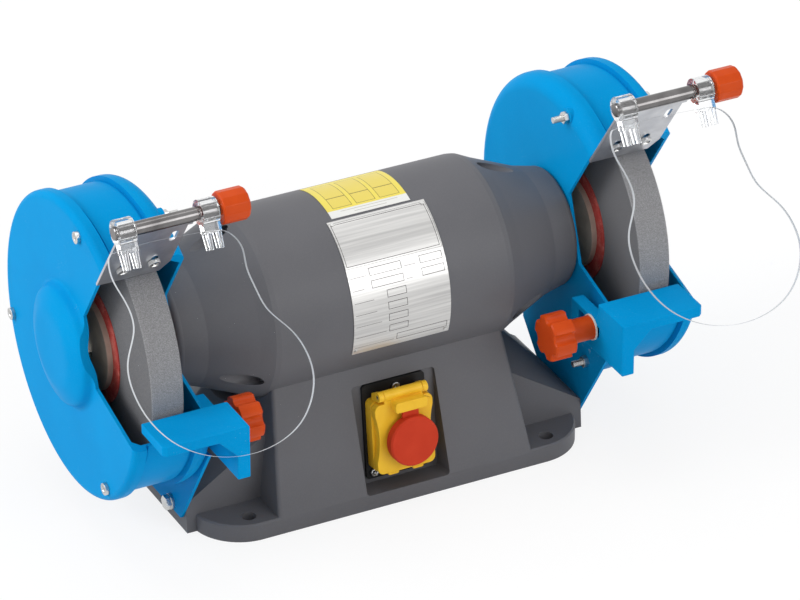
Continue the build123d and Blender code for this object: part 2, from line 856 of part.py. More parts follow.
with BuildPart() as left_tab:
    with BuildSketch(arrestor_plane.offset(-slide_fit)):
        with Locations(((arrestor_left + 5 + arrestor_right - 4) / 2, 18.5)):
            Rectangle(arrestor_right - arrestor_left - 9, 23)
    extrude(amount=-3)
    with BuildSketch(arrestor_plane.offset(-slide_fit)):
        with Locations((wheel_offset - guard_seam + 3 + (arrestor_right - 8) / 2, 4.5)):
            Rectangle(arrestor_right - 8, 7)
    extrude(amount=-8.6)
    with BuildSketch(arrestor_plane.offset(-slide_fit)):
        with Locations([(x, arrestor_screw_height) for x in arrestor_screw_places]):
            Circle(2.5)
    extrude(amount=-12, mode=Mode.SUBTRACT)



def rest_seat(height):
    """Boss of the given height and sliding key on the motor side of the guard, bored for the rest bolt."""
    with BuildPart() as seat:
        with BuildSketch(side_plane(guard_inner_face)):
            with Locations(rest_bolt_place):
                Circle(11)
        extrude(amount=height)
        with BuildSketch(side_plane(guard_inner_face)):
            with Locations(rest_bolt_place):
                Rectangle(key_length, key_height)
        extrude(amount=height + face_gap + 0.6 * rest_leg_thickness)
        with BuildSketch(side_plane(guard_inner_face)):
            with Locations(rest_bolt_place):
                Circle(rest_bolt_radius)
        extrude(amount=height + rest_leg_thickness, mode=Mode.SUBTRACT)
    return seat.part


seat_height = guard_inner_face - rest_inner - rest_leg_thickness - face_gap

with BuildPart() as right_inner_guard:
    add(right_guard_shell.part)
    add(rest_seat(seat_height))
    add(right_tab.part)
right_inner_guard.part.label = "right_inner_guard"
export_step(right_inner_guard.part, "parts/right_inner_guard.step")

with BuildPart() as left_inner_guard:
    mirror(right_guard_shell.part, about=Plane.YZ)
    mirror(rest_seat(seat_height - left_rest_shift), about=Plane.YZ)
    with Locations((-2 * wheel_offset, 0, 0)):
        add(left_tab.part)
left_inner_guard.part.label = "left_inner_guard"
export_step(left_inner_guard.part, "parts/left_inner_guard.step")

boss_plane = Plane(origin=(0, -boss_shift, shaft_height), x_dir=(1, 0, 0), z_dir=(0, -1, 0))
boss_axis = Axis((0, -boss_shift, shaft_height), (1, 0, 0))


def dome_line(base, radius):
    """Points from the foot of the pressed dome in the cover face up to its crown."""
    return [
        (base, radius + 3),
        (base + 0.45 * boss_height, radius - 2.5),
        (base + 0.75 * boss_height, radius - 9),
        (base + boss_height, 0),
    ]


with BuildPart() as right_outer_cover:
    with BuildSketch(profile_plane):
        with BuildLine():
            face = guard_outer_face
            inner = guard_outer_face - guard_wall
            Line((face, 0), (face, bead_radius - outer_round))
            RadiusArc((face, bead_radius - outer_round), (face - outer_round, bead_radius), -outer_round)
            Polyline(
                (face - outer_round, bead_radius),
                (outer_groove, bead_radius),
                (outer_groove, drum_radius - groove_depth),
                (outer_groove - groove_width, drum_radius - groove_depth),
                (outer_groove - groove_width, drum_radius),
                (guard_seam, drum_radius),
                (guard_seam, drum_inner),
                (inner - outer_round, drum_inner),
                (inner, drum_inner - outer_round),
                (inner, 0),
                (face, 0),
            )
        make_face()
    revolve(axis=shaft_axis)
    with BuildSketch(boss_plane):
        with BuildLine():
            Polyline((inner, 0), (inner, boss_radius + 3), (face, boss_radius + 3))
            Spline(*dome_line(face, boss_radius), tangents=[(0, -1), (0, -1)])
            Line((face + boss_height, 0), (inner, 0))
        make_face()
    revolve(axis=boss_axis)
    with BuildSketch(boss_plane):
        with BuildLine():
            hollow = boss_radius - guard_wall
            Polyline((inner - 1, 0), (inner - 1, hollow + 3), (inner, hollow + 3))
            Spline(*dome_line(inner, hollow), tangents=[(0, -1), (0, -1)])
            Line((inner + boss_height, 0), (inner - 1, 0))
        make_face()
    revolve(axis=boss_axis, mode=Mode.SUBTRACT)
    with BuildSketch(side_plane(guard_outer_face)):
        with Locations(bolt_places):
            Circle(6)
    extrude(amount=outer_round + 3)
    with BuildSketch(side_plane(guard_outer_face + boss_height)):
        Polygon(opening_points, align=None)
    extrude(amount=guard_outer_face + boss_height - guard_seam + 1, mode=Mode.SUBTRACT)
    with BuildSketch(side_plane(guard_outer_face + boss_height)):
        with Locations(bolt_places):
            Circle(cover_bolt_radius)
    extrude(amount=guard_outer_face + boss_height - guard_seam, mode=Mode.SUBTRACT)
right_outer_cover.part.label = "right_outer_cover"
export_step(right_outer_cover.part, "parts/right_outer_cover.step")

with BuildPart() as left_outer_cover:
    mirror(right_outer_cover.part, about=Plane.YZ)
left_outer_cover.part.label = "left_outer_cover"
export_step(left_outer_cover.part, "parts/left_outer_cover.step")

with BuildPart() as cover_bolts:
    with BuildSketch(side_plane(guard_outer_face)):
        with Locations(bolt_places):
            Circle(cover_bolt_radius)
    extrude(amount=guard_outer_face - guard_inner_face + cover_bolt_tail)
    with BuildSketch(side_plane(guard_outer_face)):
        with Locations(bolt_places):
            Circle(4.6)
    extrude(amount=-3)
    with BuildSketch(side_plane(guard_inner_face)):
        with Locations(bolt_places):
            RegularPolygon(4, 6, major_radius=False)
    extrude(amount=4)
    mirror(about=Plane.YZ)
cover_bolts.part.label = "cover_bolts"
export_step(cover_bolts.part, "parts/cover_bolts.step")

with BuildPart() as guard_mount_screws:
    screw_places = [polar(mount_circle, a) for a in mount_angles]
    with BuildSketch(side_plane(guard_inner_face + guard_wall)):
        with Locations(screw_places):
            Circle(mount_screw_radius)
    extrude(amount=guard_wall + 8)
    with BuildSketch(side_plane(guard_inner_face + guard_wall)):
        with Locations(screw_places):
            Circle(4.5)
    extrude(amount=-3)
    mirror(about=Plane.YZ)
guard_mount_screws.part.label = "guard_mount_screws"
export_step(guard_mount_screws.part, "parts/guard_mount_screws.step")

with BuildPart() as lug_bolts:
    lug_face = guard_inner_face + guard_wall
    with BuildSketch(side_plane(lug_face)):
        with Locations(lug_place):
            Circle(lug_bolt_radius)
    extrude(amount=guard_wall + 8)
    with BuildSketch(side_plane(lug_face)):
        with Locations(lug_place):
            Circle(6)
    extrude(amount=-2)
    with BuildSketch(side_plane(lug_face + 2)):
        with Locations(lug_place):
            RegularPolygon(5, 6, major_radius=False)
    extrude(amount=-4)
    mirror(about=Plane.YZ)
lug_bolts.part.label = "lug_bolts"
export_step(lug_bolts.part, "parts/lug_bolts.step")

# Spark arrestor, rod, clamps and eye shield; the right-hand set is made and the left is a shifted copy

rod_offset = arrestor_thickness / 2
lean_sin = sin(radians(arrestor_lean))
lean_cos = cos(radians(arrestor_lean))
rod_y = arrestor_edge_y - rod_height * lean_sin - rod_offset * lean_cos
rod_z = arrestor_edge_z + rod_height * lean_cos - rod_offset * lean_sin
rod_plane = Plane(origin=(wheel_offset, rod_y, rod_z), x_dir=(0, -1, 0), z_dir=(1, 0, 0))
to_left = (-2 * wheel_offset, 0, 0)
top_left = clamp_places[0] + clamp_width / 2 + 1
top_right = clamp_places[1] - clamp_width / 2 - 1

with BuildPart() as right_arrestor:
    with BuildSketch(arrestor_plane):
        with BuildLine():
            Polyline(
                (arrestor_left, 0),
                (arrestor_right - 6, 0),
                (arrestor_right, 12),
                (arrestor_right, rod_height - clamp_radius - 4),
                (top_right, rod_height - clamp_radius - 4),
                (top_right, rod_height),
                (top_left, rod_height),
                (top_left, rod_height - clamp_radius - 4),
                (arrestor_left, rod_height - clamp_radius - 4),
                close=True,
            )
        make_face()
        with Locations([(x, arrestor_screw_height) for x in arrestor_screw_places]):
            SlotCenterToCenter(arrestor_travel + 2, 5.4, rotation=90, mode=Mode.SUBTRACT)
        with Locations((arrestor_right - 8, rod_height - 26)):
            SlotOverall(14, 5, rotation=90, mode=Mode.SUBTRACT)
    extrude(amount=arrestor_thickness)
    with BuildSketch(rod_plane.offset(rod_left)):
        Circle(rod_radius)
    extrude(amount=rod_right - rod_left, mode=Mode.SUBTRACT)
right_arrestor.part.label = "right_arrestor"
export_step(right_arrestor.part, "parts/right_arrestor.step")

with BuildPart() as left_arrestor:
    with Locations(to_left):
        add(right_arrestor.part)
left_arrestor.part.label = "left_arrestor"
export_step(left_arrestor.part, "parts/left_arrestor.step")

with BuildPart() as arrestor_screws:
    screw_row = [(x, arrestor_screw_height) for x in arrestor_screw_places]
    with BuildSketch(arrestor_plane):
        with Locations(screw_row):
            Circle(2.5)
    extrude(amount=arrestor_thickness + face_gap + 1)
    with BuildSketch(arrestor_plane):
        with Locations(screw_row):
            Circle(2.5)
    extrude(amount=-7)
    with BuildSketch(arrestor_plane.offset(arrestor_thickness + face_gap)):
        with Locations(screw_row):
            Circle(4.6)
    extrude(amount=3)
    with BuildSketch(arrestor_plane.offset(-3 - slide_fit)):
        with Locations(screw_row):
            RegularPolygon(4, 6, major_radius=False)
    extrude(amount=-4)
    right_screws = arrestor_screws.part
    with Locations(to_left):
        add(right_screws)
arrestor_screws.part.label = "arrestor_screws"
export_step(arrestor_screws.part, "parts/arrestor_screws.step")

with BuildPart() as right_shield_rod:
    with BuildSketch(rod_plane.offset(rod_left)):
        Circle(rod_radius)
    extrude(amount=rod_right - rod_left)
    chamfer(right_shield_rod.edges().filter_by(GeomType.CIRCLE), 0.6)
right_shield_rod.part.label = "right_shield_rod"
export_step(right_shield_rod.part, "parts/right_shield_rod.step")

with BuildPart() as left_shield_rod:
    with Locations(to_left):
        add(right_shield_rod.part)
left_shield_rod.part.label = "left_shield_rod"
export_step(left_shield_rod.part, "parts/left_shield_rod.step")

shield_plane = Plane(
    origin=(wheel_offset, rod_y, rod_z),
    x_dir=(1, 0, 0),
    z_dir=(0, -cos(radians(shield_tilt)), sin(radians(shield_tilt))),
)

with BuildPart() as right_eye_shield:
    with BuildSketch(shield_plane.offset(-shield_thickness / 2)):
        with BuildLine():
            Spline(*shield_outline, periodic=True)
        make_face()
    extrude(amount=shield_thickness)
right_eye_shield.part.label = "right_eye_shield"
export_step(right_eye_shield.part, "parts/right_eye_shield.step")

with BuildPart() as left_eye_shield:
    with Locations(to_left):
        add(right_eye_shield.part)
left_eye_shield.part.label = "left_eye_shield"
export_step(left_eye_shield.part, "parts/left_eye_shield.step")

with BuildPart() as right_shield_clamps:
    for place in clamp_places:
        with BuildSketch(rod_plane.offset(place - clamp_width / 2)):
            Circle(clamp_radius)
        extrude(amount=clamp_width)
        with BuildSketch(shield_plane.offset(-shield_thickness / 2 - 3)):
            for side in (-1, 1):
                edge = place + side * clamp_width / 2
                Polygon(
                    [
                        (edge, 0),
                        (edge - 1.2 * side, prong_low),
                        (edge - (1.2 + prong_tip) * side, prong_low),
                        (edge - prong_width * side, 0),
                    ],
                    align=None,
                )
            with Locations((place, -clamp_radius)):
                Rectangle(clamp_width, 12)
        extrude(amount=shield_thickness + 6)
    add(right_eye_shield.part, mode=Mode.SUBTRACT)
    with BuildSketch(rod_plane.offset(rod_left - 20)):
        Circle(rod_radius + running_fit)
    extrude(amount=rod_right - rod_left + 40, mode=Mode.SUBTRACT)
right_shield_clamps.part.label = "right_shield_clamps"
export_step(right_shield_clamps.part, "parts/right_shield_clamps.step")

with BuildPart() as left_shield_clamps:
    with Locations(to_left):
        add(right_shield_clamps.part)
left_shield_clamps.part.label = "left_shield_clamps"
export_step(left_shield_clamps.part, "parts/left_shield_clamps.step")

with BuildPart() as right_shield_knob:
    with BuildSketch(rod_plane.offset(shield_knob_start)):
        RegularPolygon(shield_knob_radius, 12)
    extrude(amount=shield_knob_length)
    chamfer(right_shield_knob.faces().sort_by(Axis.X)[-1].edges(), 1.8)
    chamfer(right_shield_knob.faces().sort_by(Axis.X)[0].edges(), 0.8)
    with BuildSketch(rod_plane.offset(shield_knob_start)):
        Circle(rod_radius + running_fit)
    extrude(amount=rod_right - shield_knob_start + face_gap, mode=Mode.SUBTRACT)
right_shield_knob.part.label = "right_shield_knob"
export_step(right_shield_knob.part, "parts/right_shield_knob.step")

with BuildPart() as left_shield_knob:
    with Locations(to_left):
        add(right_shield_knob.part)
left_shield_knob.part.label = "left_shield_knob"
export_step(left_shield_knob.part, "parts/left_shield_knob.step")

# Tool rests

slot_height = key_height + 2 * slide_fit
slot_front = rest_bolt_forward + key_length / 2 + rest_travel_in + 1
slot_rear = rest_bolt_forward - key_length / 2 - rest_travel_out - 1

with BuildPart() as right_tool_rest:
    with BuildSketch(Plane.XY.offset(rest_top)):
        with BuildLine():
            Polyline(
                (rest_inner, rest_rear),
                (rest_outer, rest_rear),
                (rest_outer, rest_front + 3),
                (rest_outer - 3, rest_front),
                (rest_inner, rest_front),
                close=True,
            )
        make_face()
    extrude(amount=-rest_thickness)
    with BuildSketch(side_plane(rest_inner + rest_leg_thickness)):
        with BuildLine():
            Polyline(
                (-rest_front, rest_top - shaft_height),
                (-rest_front, rest_leg_bottom - shaft_height),
                (-rest_leg_rear + 6, rest_leg_bottom - shaft_height),
                (-rest_leg_rear, rest_leg_bottom + 6 - shaft_height),
                (-rest_leg_rear, rest_bolt_height + 9 - shaft_height),
                (-rest_rear - 4, rest_bolt_height + 9 - shaft_height),
                (-rest_rear, rest_top - rest_thickness - shaft_height),
                (-rest_rear, rest_top - shaft_height),
                close=True,
            )
        make_face()
    extrude(amount=rest_leg_thickness)
    with BuildSketch(side_plane(rest_inner + rest_leg_thickness)):
        with Locations(((slot_front + slot_rear) / 2, rest_bolt_height - shaft_height)):
            Rectangle(slot_front - slot_rear, slot_height)
    extrude(amount=rest_leg_thickness, mode=Mode.SUBTRACT)
    rib_top = rest_top - rest_thickness
    with BuildSketch(Plane.XZ.offset(-rest_front - 8)):
        with BuildLine():
            Polyline(
                (rest_inner + rest_leg_thickness, rib_top),
                (rest_inner + rest_leg_thickness + 14, rib_top),
                (rest_inner + rest_leg_thickness, rib_top - 14),
                close=True,
            )
        make_face()
    extrude(amount=8)
right_tool_rest.part.label = "right_tool_rest"
export_step(right_tool_rest.part, "parts/right_tool_rest.step")

with BuildPart() as left_tool_rest:
    with Locations((-left_rest_shift, 0, 0)):
        add(mirror(right_tool_rest.part, about=Plane.YZ, mode=Mode.PRIVATE))
left_tool_rest.part.label = "left_tool_rest"
export_step(left_tool_rest.part, "parts/left_tool_rest.step")

right_knob_face = rest_inner - face_gap
left_knob_face = right_knob_face + left_rest_shift
right_bolt_end = right_knob_face - right_knob_boss - 0.3 * knob_head_length
left_bolt_end = left_knob_face - left_knob_boss - 0.3 * knob_head_length
bolt_seat = guard_inner_face + guard_wall

with BuildPart() as rest_bolts:
    for side, bolt_end in ((1, right_bolt_end), (-1, left_bolt_end)):
        with BuildSketch(side_plane(side * bolt_seat)):
            with Locations(rest_bolt_place):
                Circle(rest_bolt_radius)
        extrude(amount=side * (bolt_seat - bolt_end))
        with BuildSketch(side_plane(side * bolt_seat)):
            with Locations(rest_bolt_place):
                Circle(7.5)
        extrude(amount=-4 * side)
rest_bolts.part.label = "rest_bolts"
export_step(rest_bolts.part, "parts/rest_bolts.step")


def star_knob(face, boss_length, bolt_end):
    """Six-lobed knob on a right-hand rest bolt: the boss bears on the leg, the head faces the motor."""
    with BuildPart() as knob:
        with BuildSketch(side_plane(face)):
            with Locations(rest_bolt_place):
                Circle(knob_boss_radius)
        extrude(amount=boss_length)
        with BuildSketch(side_plane(face - boss_length)):
            with Locations(rest_bolt_place):
                Circle(knob_head_radius)
                with PolarLocations(knob_head_radius + 1, 6, start_angle=20):
                    Circle(knob_notch_radius, mode=Mode.SUBTRACT)
        extrude(amount=knob_head_length)
        chamfer(knob.faces().sort_by(Axis.X)[0].edges(), 1.2)
        with BuildSketch(side_plane(face)):
            with Locations(rest_bolt_place):
                Circle(rest_bolt_radius + running_fit)
        extrude(amount=face - bolt_end + face_gap, mode=Mode.SUBTRACT)
    return knob.part


with BuildPart() as right_rest_knob:
    add(star_knob(right_knob_face, right_knob_boss, right_bolt_end))
right_rest_knob.part.label = "right_rest_knob"
export_step(right_rest_knob.part, "parts/right_rest_knob.step")

with BuildPart() as left_rest_knob:
    mirror(star_knob(left_knob_face, left_knob_boss, left_bolt_end), about=Plane.YZ)
left_rest_knob.part.label = "left_rest_knob"
export_step(left_rest_knob.part, "parts/left_rest_knob.step")

# Switch

base_front = switch_base_depth
cover_back = base_front + face_gap
cover_front = cover_back + cover_depth
button_front = base_front + button_rise
hinge_place = (0, hinge_height, hinge_depth)
aperture_width = switch_base_width - 9
aperture_height = switch_base_height - 9
hinge_plane = Plane(
    origin=switch_plane.from_local_coords(hinge_place),
    x_dir=switch_plane.z_dir,
    z_dir=(-1, 0, 0),
)
arm_foot = switch_shift + switch_base_height / 2 - 6 - hinge_height
paddle_place = (paddle_x, paddle_v)
start_place = (paddle_x, paddle_v + button_height + 3)
cover_low = switch_shift - switch_base_height / 2
cover_hollow_width = switch_base_width - 2 * waist_depth - 2 * cover_wall
cover_hollow_height = switch_base_height - 4 * cover_wall
bridge_front = paddle_start + bridge_rise

with BuildPart() as switch_plate:
    with BuildSketch(switch_plane.offset(-switch_plate_thickness)):
        RectangleRounded(switch_plate_width, switch_plate_height, 3)
        with Locations((0, switch_shift)):
            Rectangle(aperture_width, aperture_height, mode=Mode.SUBTRACT)
        with Locations(switch_screws):
            Circle(1.5, mode=Mode.SUBTRACT)
    extrude(amount=switch_plate_thickness)
switch_plate.part.label = "switch_plate"
export_step(switch_plate.part, "parts/switch_plate.step")

with BuildPart() as switch_plate_screws:
    with BuildSketch(switch_plane):
        with Locations(switch_screws):
            Circle(3.1)
    extrude(amount=2)
    with BuildSketch(switch_plane):
        with Locations(switch_screws):
            Circle(1.5)
    extrude(amount=-switch_plate_thickness - casting_wall + 2)
switch_plate_screws.part.label = "switch_plate_screws"
export_step(switch_plate_screws.part, "parts/switch_plate_screws.step")

with BuildPart() as switch_body:
    with BuildSketch(switch_plane):
        with Locations((0, switch_shift)):
            RectangleRounded(switch_base_width, switch_base_height, 4)
    extrude(amount=switch_base_depth)
    with BuildSketch(switch_plane):
        with Locations((0, switch_shift)):
            Rectangle(aperture_width - 2 * slide_fit, aperture_height - 2 * slide_fit)
    extrude(amount=-switch_block_depth)
    for x in (cover_bar + face_gap, -cover_bar - face_gap - arm_width):
        with BuildSketch(hinge_plane.offset(x)):
            with BuildLine():
                Polyline(
                    (0, hinge_radius),
                    (-hinge_depth + 4, 0),
                    (-hinge_depth + 2, arm_foot),
                    (-hinge_depth + base_front, arm_foot),
                    (-hinge_depth + base_front, arm_foot + 7),
                    (0, -hinge_radius),
                    close=True,
                )
            make_face()
            Circle(hinge_radius)
            Circle(hinge_pin_radius, mode=Mode.SUBTRACT)
        extrude(amount=arm_width)
    with BuildSketch(switch_plane.offset(base_front)):
        with Locations(start_place, paddle_place):
            Rectangle(button_width + 2 * slide_fit, button_height + 2 * slide_fit)
    extrude(amount=-base_front + 0.4, mode=Mode.SUBTRACT)
switch_body.part.label = "switch_body"
export_step(switch_body.part, "parts/switch_body.step")

with BuildPart() as cover_hinge_pin:
    with BuildSketch(hinge_plane.offset(-cover_bar - face_gap - arm_width)):
        Circle(hinge_pin_radius)
    extrude(amount=2 * (cover_bar + face_gap + arm_width))
cover_hinge_pin.part.label = "cover_hinge_pin"
export_step(cover_hinge_pin.part, "parts/cover_hinge_pin.step")

with BuildPart() as switch_cover:
    with BuildSketch(switch_plane.offset(cover_back)):
        with Locations((0, switch_shift)):
            RectangleRounded(switch_base_width, switch_base_height, 5)
        with Locations((switch_base_width / 2 - waist_depth + waist_radius, 0)):
            Circle(waist_radius, mode=Mode.SUBTRACT)
        with Locations((-switch_base_width / 2 + waist_depth - waist_radius, 0)):
            Circle(waist_radius, mode=Mode.SUBTRACT)
    extrude(amount=cover_depth)
    with BuildSketch(switch_plane.offset(cover_back)):
        with Locations((-10, cover_low), (10, cover_low)):
            RectangleRounded(9, 6, 1.5)
    extrude(amount=cover_depth - 2)
    with BuildSketch(switch_plane.offset(cover_back)):
        with Locations((0, switch_shift)):
            Rectangle(cover_hollow_width, cover_hollow_height)
    extrude(amount=cover_depth - cover_wall, mode=Mode.SUBTRACT)
    with BuildSketch(hinge_plane.offset(-cover_bar)):
        Circle(hinge_radius)
    extrude(amount=2 * cover_bar)
    with BuildSketch(switch_plane.offset(cover_front - 5)):
        with Locations((0, hinge_height - 5)):
            Rectangle(2 * cover_bar, 8)
    extrude(amount=5)
    with BuildSketch(switch_plane.offset(cover_front - 1)):
        with Locations((paddle_x, (bridge_low + bridge_high) / 2)):
            RectangleRounded(4 * tongue_half, bridge_high - bridge_low, 2)
    extrude(amount=bridge_front - cover_front + 1)
    with BuildSketch(switch_plane.offset(cover_front)):
        with Locations((paddle_x, bridge_low)):
            Rectangle(2 * tongue_half + 1, 2 * (tongue_top - bridge_low + 0.5))
    extrude(amount=bridge_front - cover_front - 1.8, mode=Mode.SUBTRACT)
    with BuildSketch(switch_plane.offset(cover_back)):
        with Locations(paddle_place):
            Circle(4.3)
    extrude(amount=cover_depth + 1, mode=Mode.SUBTRACT)
    with BuildSketch(hinge_plane.offset(-cover_bar)):
        Circle(hinge_pin_radius + running_fit)
    extrude(amount=2 * cover_bar, mode=Mode.SUBTRACT)
switch_cover.part.label = "switch_cover"
export_step(switch_cover.part, "parts/switch_cover.step")

with BuildPart() as stop_paddle:
    with BuildSketch(switch_plane.offset(paddle_start)):
        with Locations(paddle_place):
            Circle(paddle_radius)
    extrude(amount=paddle_depth)
    chamfer(stop_paddle.edges().group_by(Axis.Y)[0], 1.2)
    with BuildSketch(switch_plane.offset(paddle_start)):
        with Locations((paddle_x, (paddle_v + tongue_top) / 2)):
            Rectangle(2 * tongue_half, tongue_top - paddle_v)
    extrude(amount=2.5)
    with BuildSketch(switch_plane.offset(paddle_start)):
        with Locations(paddle_place):
            Circle(4)
    extrude(amount=button_front + 0.3 - paddle_start)
stop_paddle.part.label = "stop_paddle"
export_step(stop_paddle.part, "parts/stop_paddle.step")

with BuildPart() as start_button:
    with BuildSketch(switch_plane.offset(button_front)):
        with Locations(start_place):
            RectangleRounded(button_width, button_height, 1.5)
    extrude(amount=-button_front + 3.5)
start_button.part.label = "start_button"
export_step(start_button.part, "parts/start_button.step")

with BuildPart() as stop_button:
    with BuildSketch(switch_plane.offset(button_front)):
        with Locations(paddle_place):
            RectangleRounded(button_width, button_height, 1.5)
    extrude(amount=-button_front + 3.5)
stop_button.part.label = "stop_button"
export_step(stop_button.part, "parts/stop_button.step")
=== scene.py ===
"""Looks of the bench grinder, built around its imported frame.

Fields are in millimetres unless they say otherwise. Noise scales are in clouds or cells to the metre.
"""

import json
import logging
import math
from dataclasses import dataclass, replace
from enum import Enum
from typing import Any, Iterable, Optional, Union

import bmesh
import bpy
from mathutils import Matrix, Vector

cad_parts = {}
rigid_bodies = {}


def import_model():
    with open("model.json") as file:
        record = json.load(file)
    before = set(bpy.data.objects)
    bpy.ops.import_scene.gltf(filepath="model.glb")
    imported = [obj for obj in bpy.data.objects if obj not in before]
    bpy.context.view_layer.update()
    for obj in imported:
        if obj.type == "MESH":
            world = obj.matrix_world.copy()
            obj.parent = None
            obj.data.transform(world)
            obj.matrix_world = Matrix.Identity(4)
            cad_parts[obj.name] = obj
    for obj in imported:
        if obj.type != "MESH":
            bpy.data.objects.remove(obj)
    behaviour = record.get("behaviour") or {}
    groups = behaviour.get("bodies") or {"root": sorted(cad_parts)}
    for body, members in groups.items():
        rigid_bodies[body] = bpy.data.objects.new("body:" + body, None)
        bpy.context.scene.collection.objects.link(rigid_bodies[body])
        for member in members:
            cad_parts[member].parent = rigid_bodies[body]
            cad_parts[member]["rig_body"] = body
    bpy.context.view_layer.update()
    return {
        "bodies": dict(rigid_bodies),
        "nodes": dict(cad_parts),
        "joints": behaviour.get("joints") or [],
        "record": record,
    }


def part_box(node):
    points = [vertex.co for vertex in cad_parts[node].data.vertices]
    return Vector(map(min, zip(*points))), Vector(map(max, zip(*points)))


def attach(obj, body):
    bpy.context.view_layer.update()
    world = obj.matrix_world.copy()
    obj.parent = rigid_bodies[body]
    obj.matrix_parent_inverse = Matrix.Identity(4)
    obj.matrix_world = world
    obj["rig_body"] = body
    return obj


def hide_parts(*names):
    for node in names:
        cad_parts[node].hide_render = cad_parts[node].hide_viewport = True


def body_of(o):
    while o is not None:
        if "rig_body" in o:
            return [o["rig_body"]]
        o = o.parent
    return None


LOG = logging.getLogger("bench_grinder")
MM = 0.001
WELD = 1e-7
TRIANGLE_WELD = 2e-6
FLAT_TURN = 0.4
Colour = tuple[float, float, float, float]
Operand = Union["Signal", float]


def paint(red: int, green: int, blue: int) -> Colour:
    """A colour as the eye reads it, from 0 to 255, in the linear values a shader takes.

    Args:
        red: Red part of the colour.
        green: Green part of the colour.
        blue: Blue part of the colour.

    Returns:
        Linear red, green, blue and a full alpha.
    """
    linear = []
    for part in (red, green, blue):
        share = part / 255
        linear.append(share / 12.92 if share <= 0.04045 else ((share + 0.055) / 1.055) ** 2.4)
    return (linear[0], linear[1], linear[2], 1.0)


class Side(Enum):
    """The two ends of the shaft."""

    LEFT = "left"
    RIGHT = "right"

    @property
    def sign(self) -> int:
        """-1 at the left end and 1 at the right end."""
        return -1 if self is Side.LEFT else 1

    def node(self, piece: str) -> str:
        """Name of this end's copy of a piece."""
        return f"{self.value}_{piece}"


class Recess(Enum):
    """What a driver turns a screw head by."""

    CROSS = "cross"
    HEXAGON = "hexagon"


class Signal:
    """A number on a shader socket. Arithmetic on it adds Math nodes."""

    def __init__(self, sheet: "ShaderSheet", socket: bpy.types.NodeSocket) -> None:
        """Keeps the sheet the socket belongs to, and the socket."""
        self.sheet = sheet
        self.socket = socket

    def _math(self, operation: str, first: Operand, second: Operand) -> "Signal":
        """One Math node on two operands."""
        return self.sheet.node("ShaderNodeMath", {"operation": operation}, {0: first, 1: second})

    def __add__(self, other: Operand) -> "Signal":
        """Sum."""
        return self._math("ADD", self, other)

    def __radd__(self, other: Operand) -> "Signal":
        """Sum with a plain number on the left."""
        return self._math("ADD", other, self)

    def __sub__(self, other: Operand) -> "Signal":
        """Difference."""
        return self._math("SUBTRACT", self, other)

    def __rsub__(self, other: Operand) -> "Signal":
        """Difference with a plain number on the left."""
        return self._math("SUBTRACT", other, self)

    def __mul__(self, other: Operand) -> "Signal":
        """Product."""
        return self._math("MULTIPLY", self, other)

    def __rmul__(self, other: Operand) -> "Signal":
        """Product with a plain number on the left."""
        return self._math("MULTIPLY", other, self)

    def __pow__(self, other: Operand) -> "Signal":
        """Power."""
        return self._math("POWER", self, other)

    def __gt__(self, other: Operand) -> "Signal":
        """1 where this is the larger, else 0."""
        return self._math("GREATER_THAN", self, other)

    def __lt__(self, other: Operand) -> "Signal":
        """1 where this is the smaller, else 0."""
        return self._math("LESS_THAN", self, other)

    def __abs__(self) -> "Signal":
        """Size without the sign."""
        return self._math("ABSOLUTE", self, 0.0)

    def either(self, other: Operand) -> "Signal":
        """The larger of two masks."""
        return self._math("MAXIMUM", self, other)

    def angle_from(self, other: Operand) -> "Signal":
        """Angle whose tangent is this over the other."""
        return self._math("ARCTAN2", self, other)


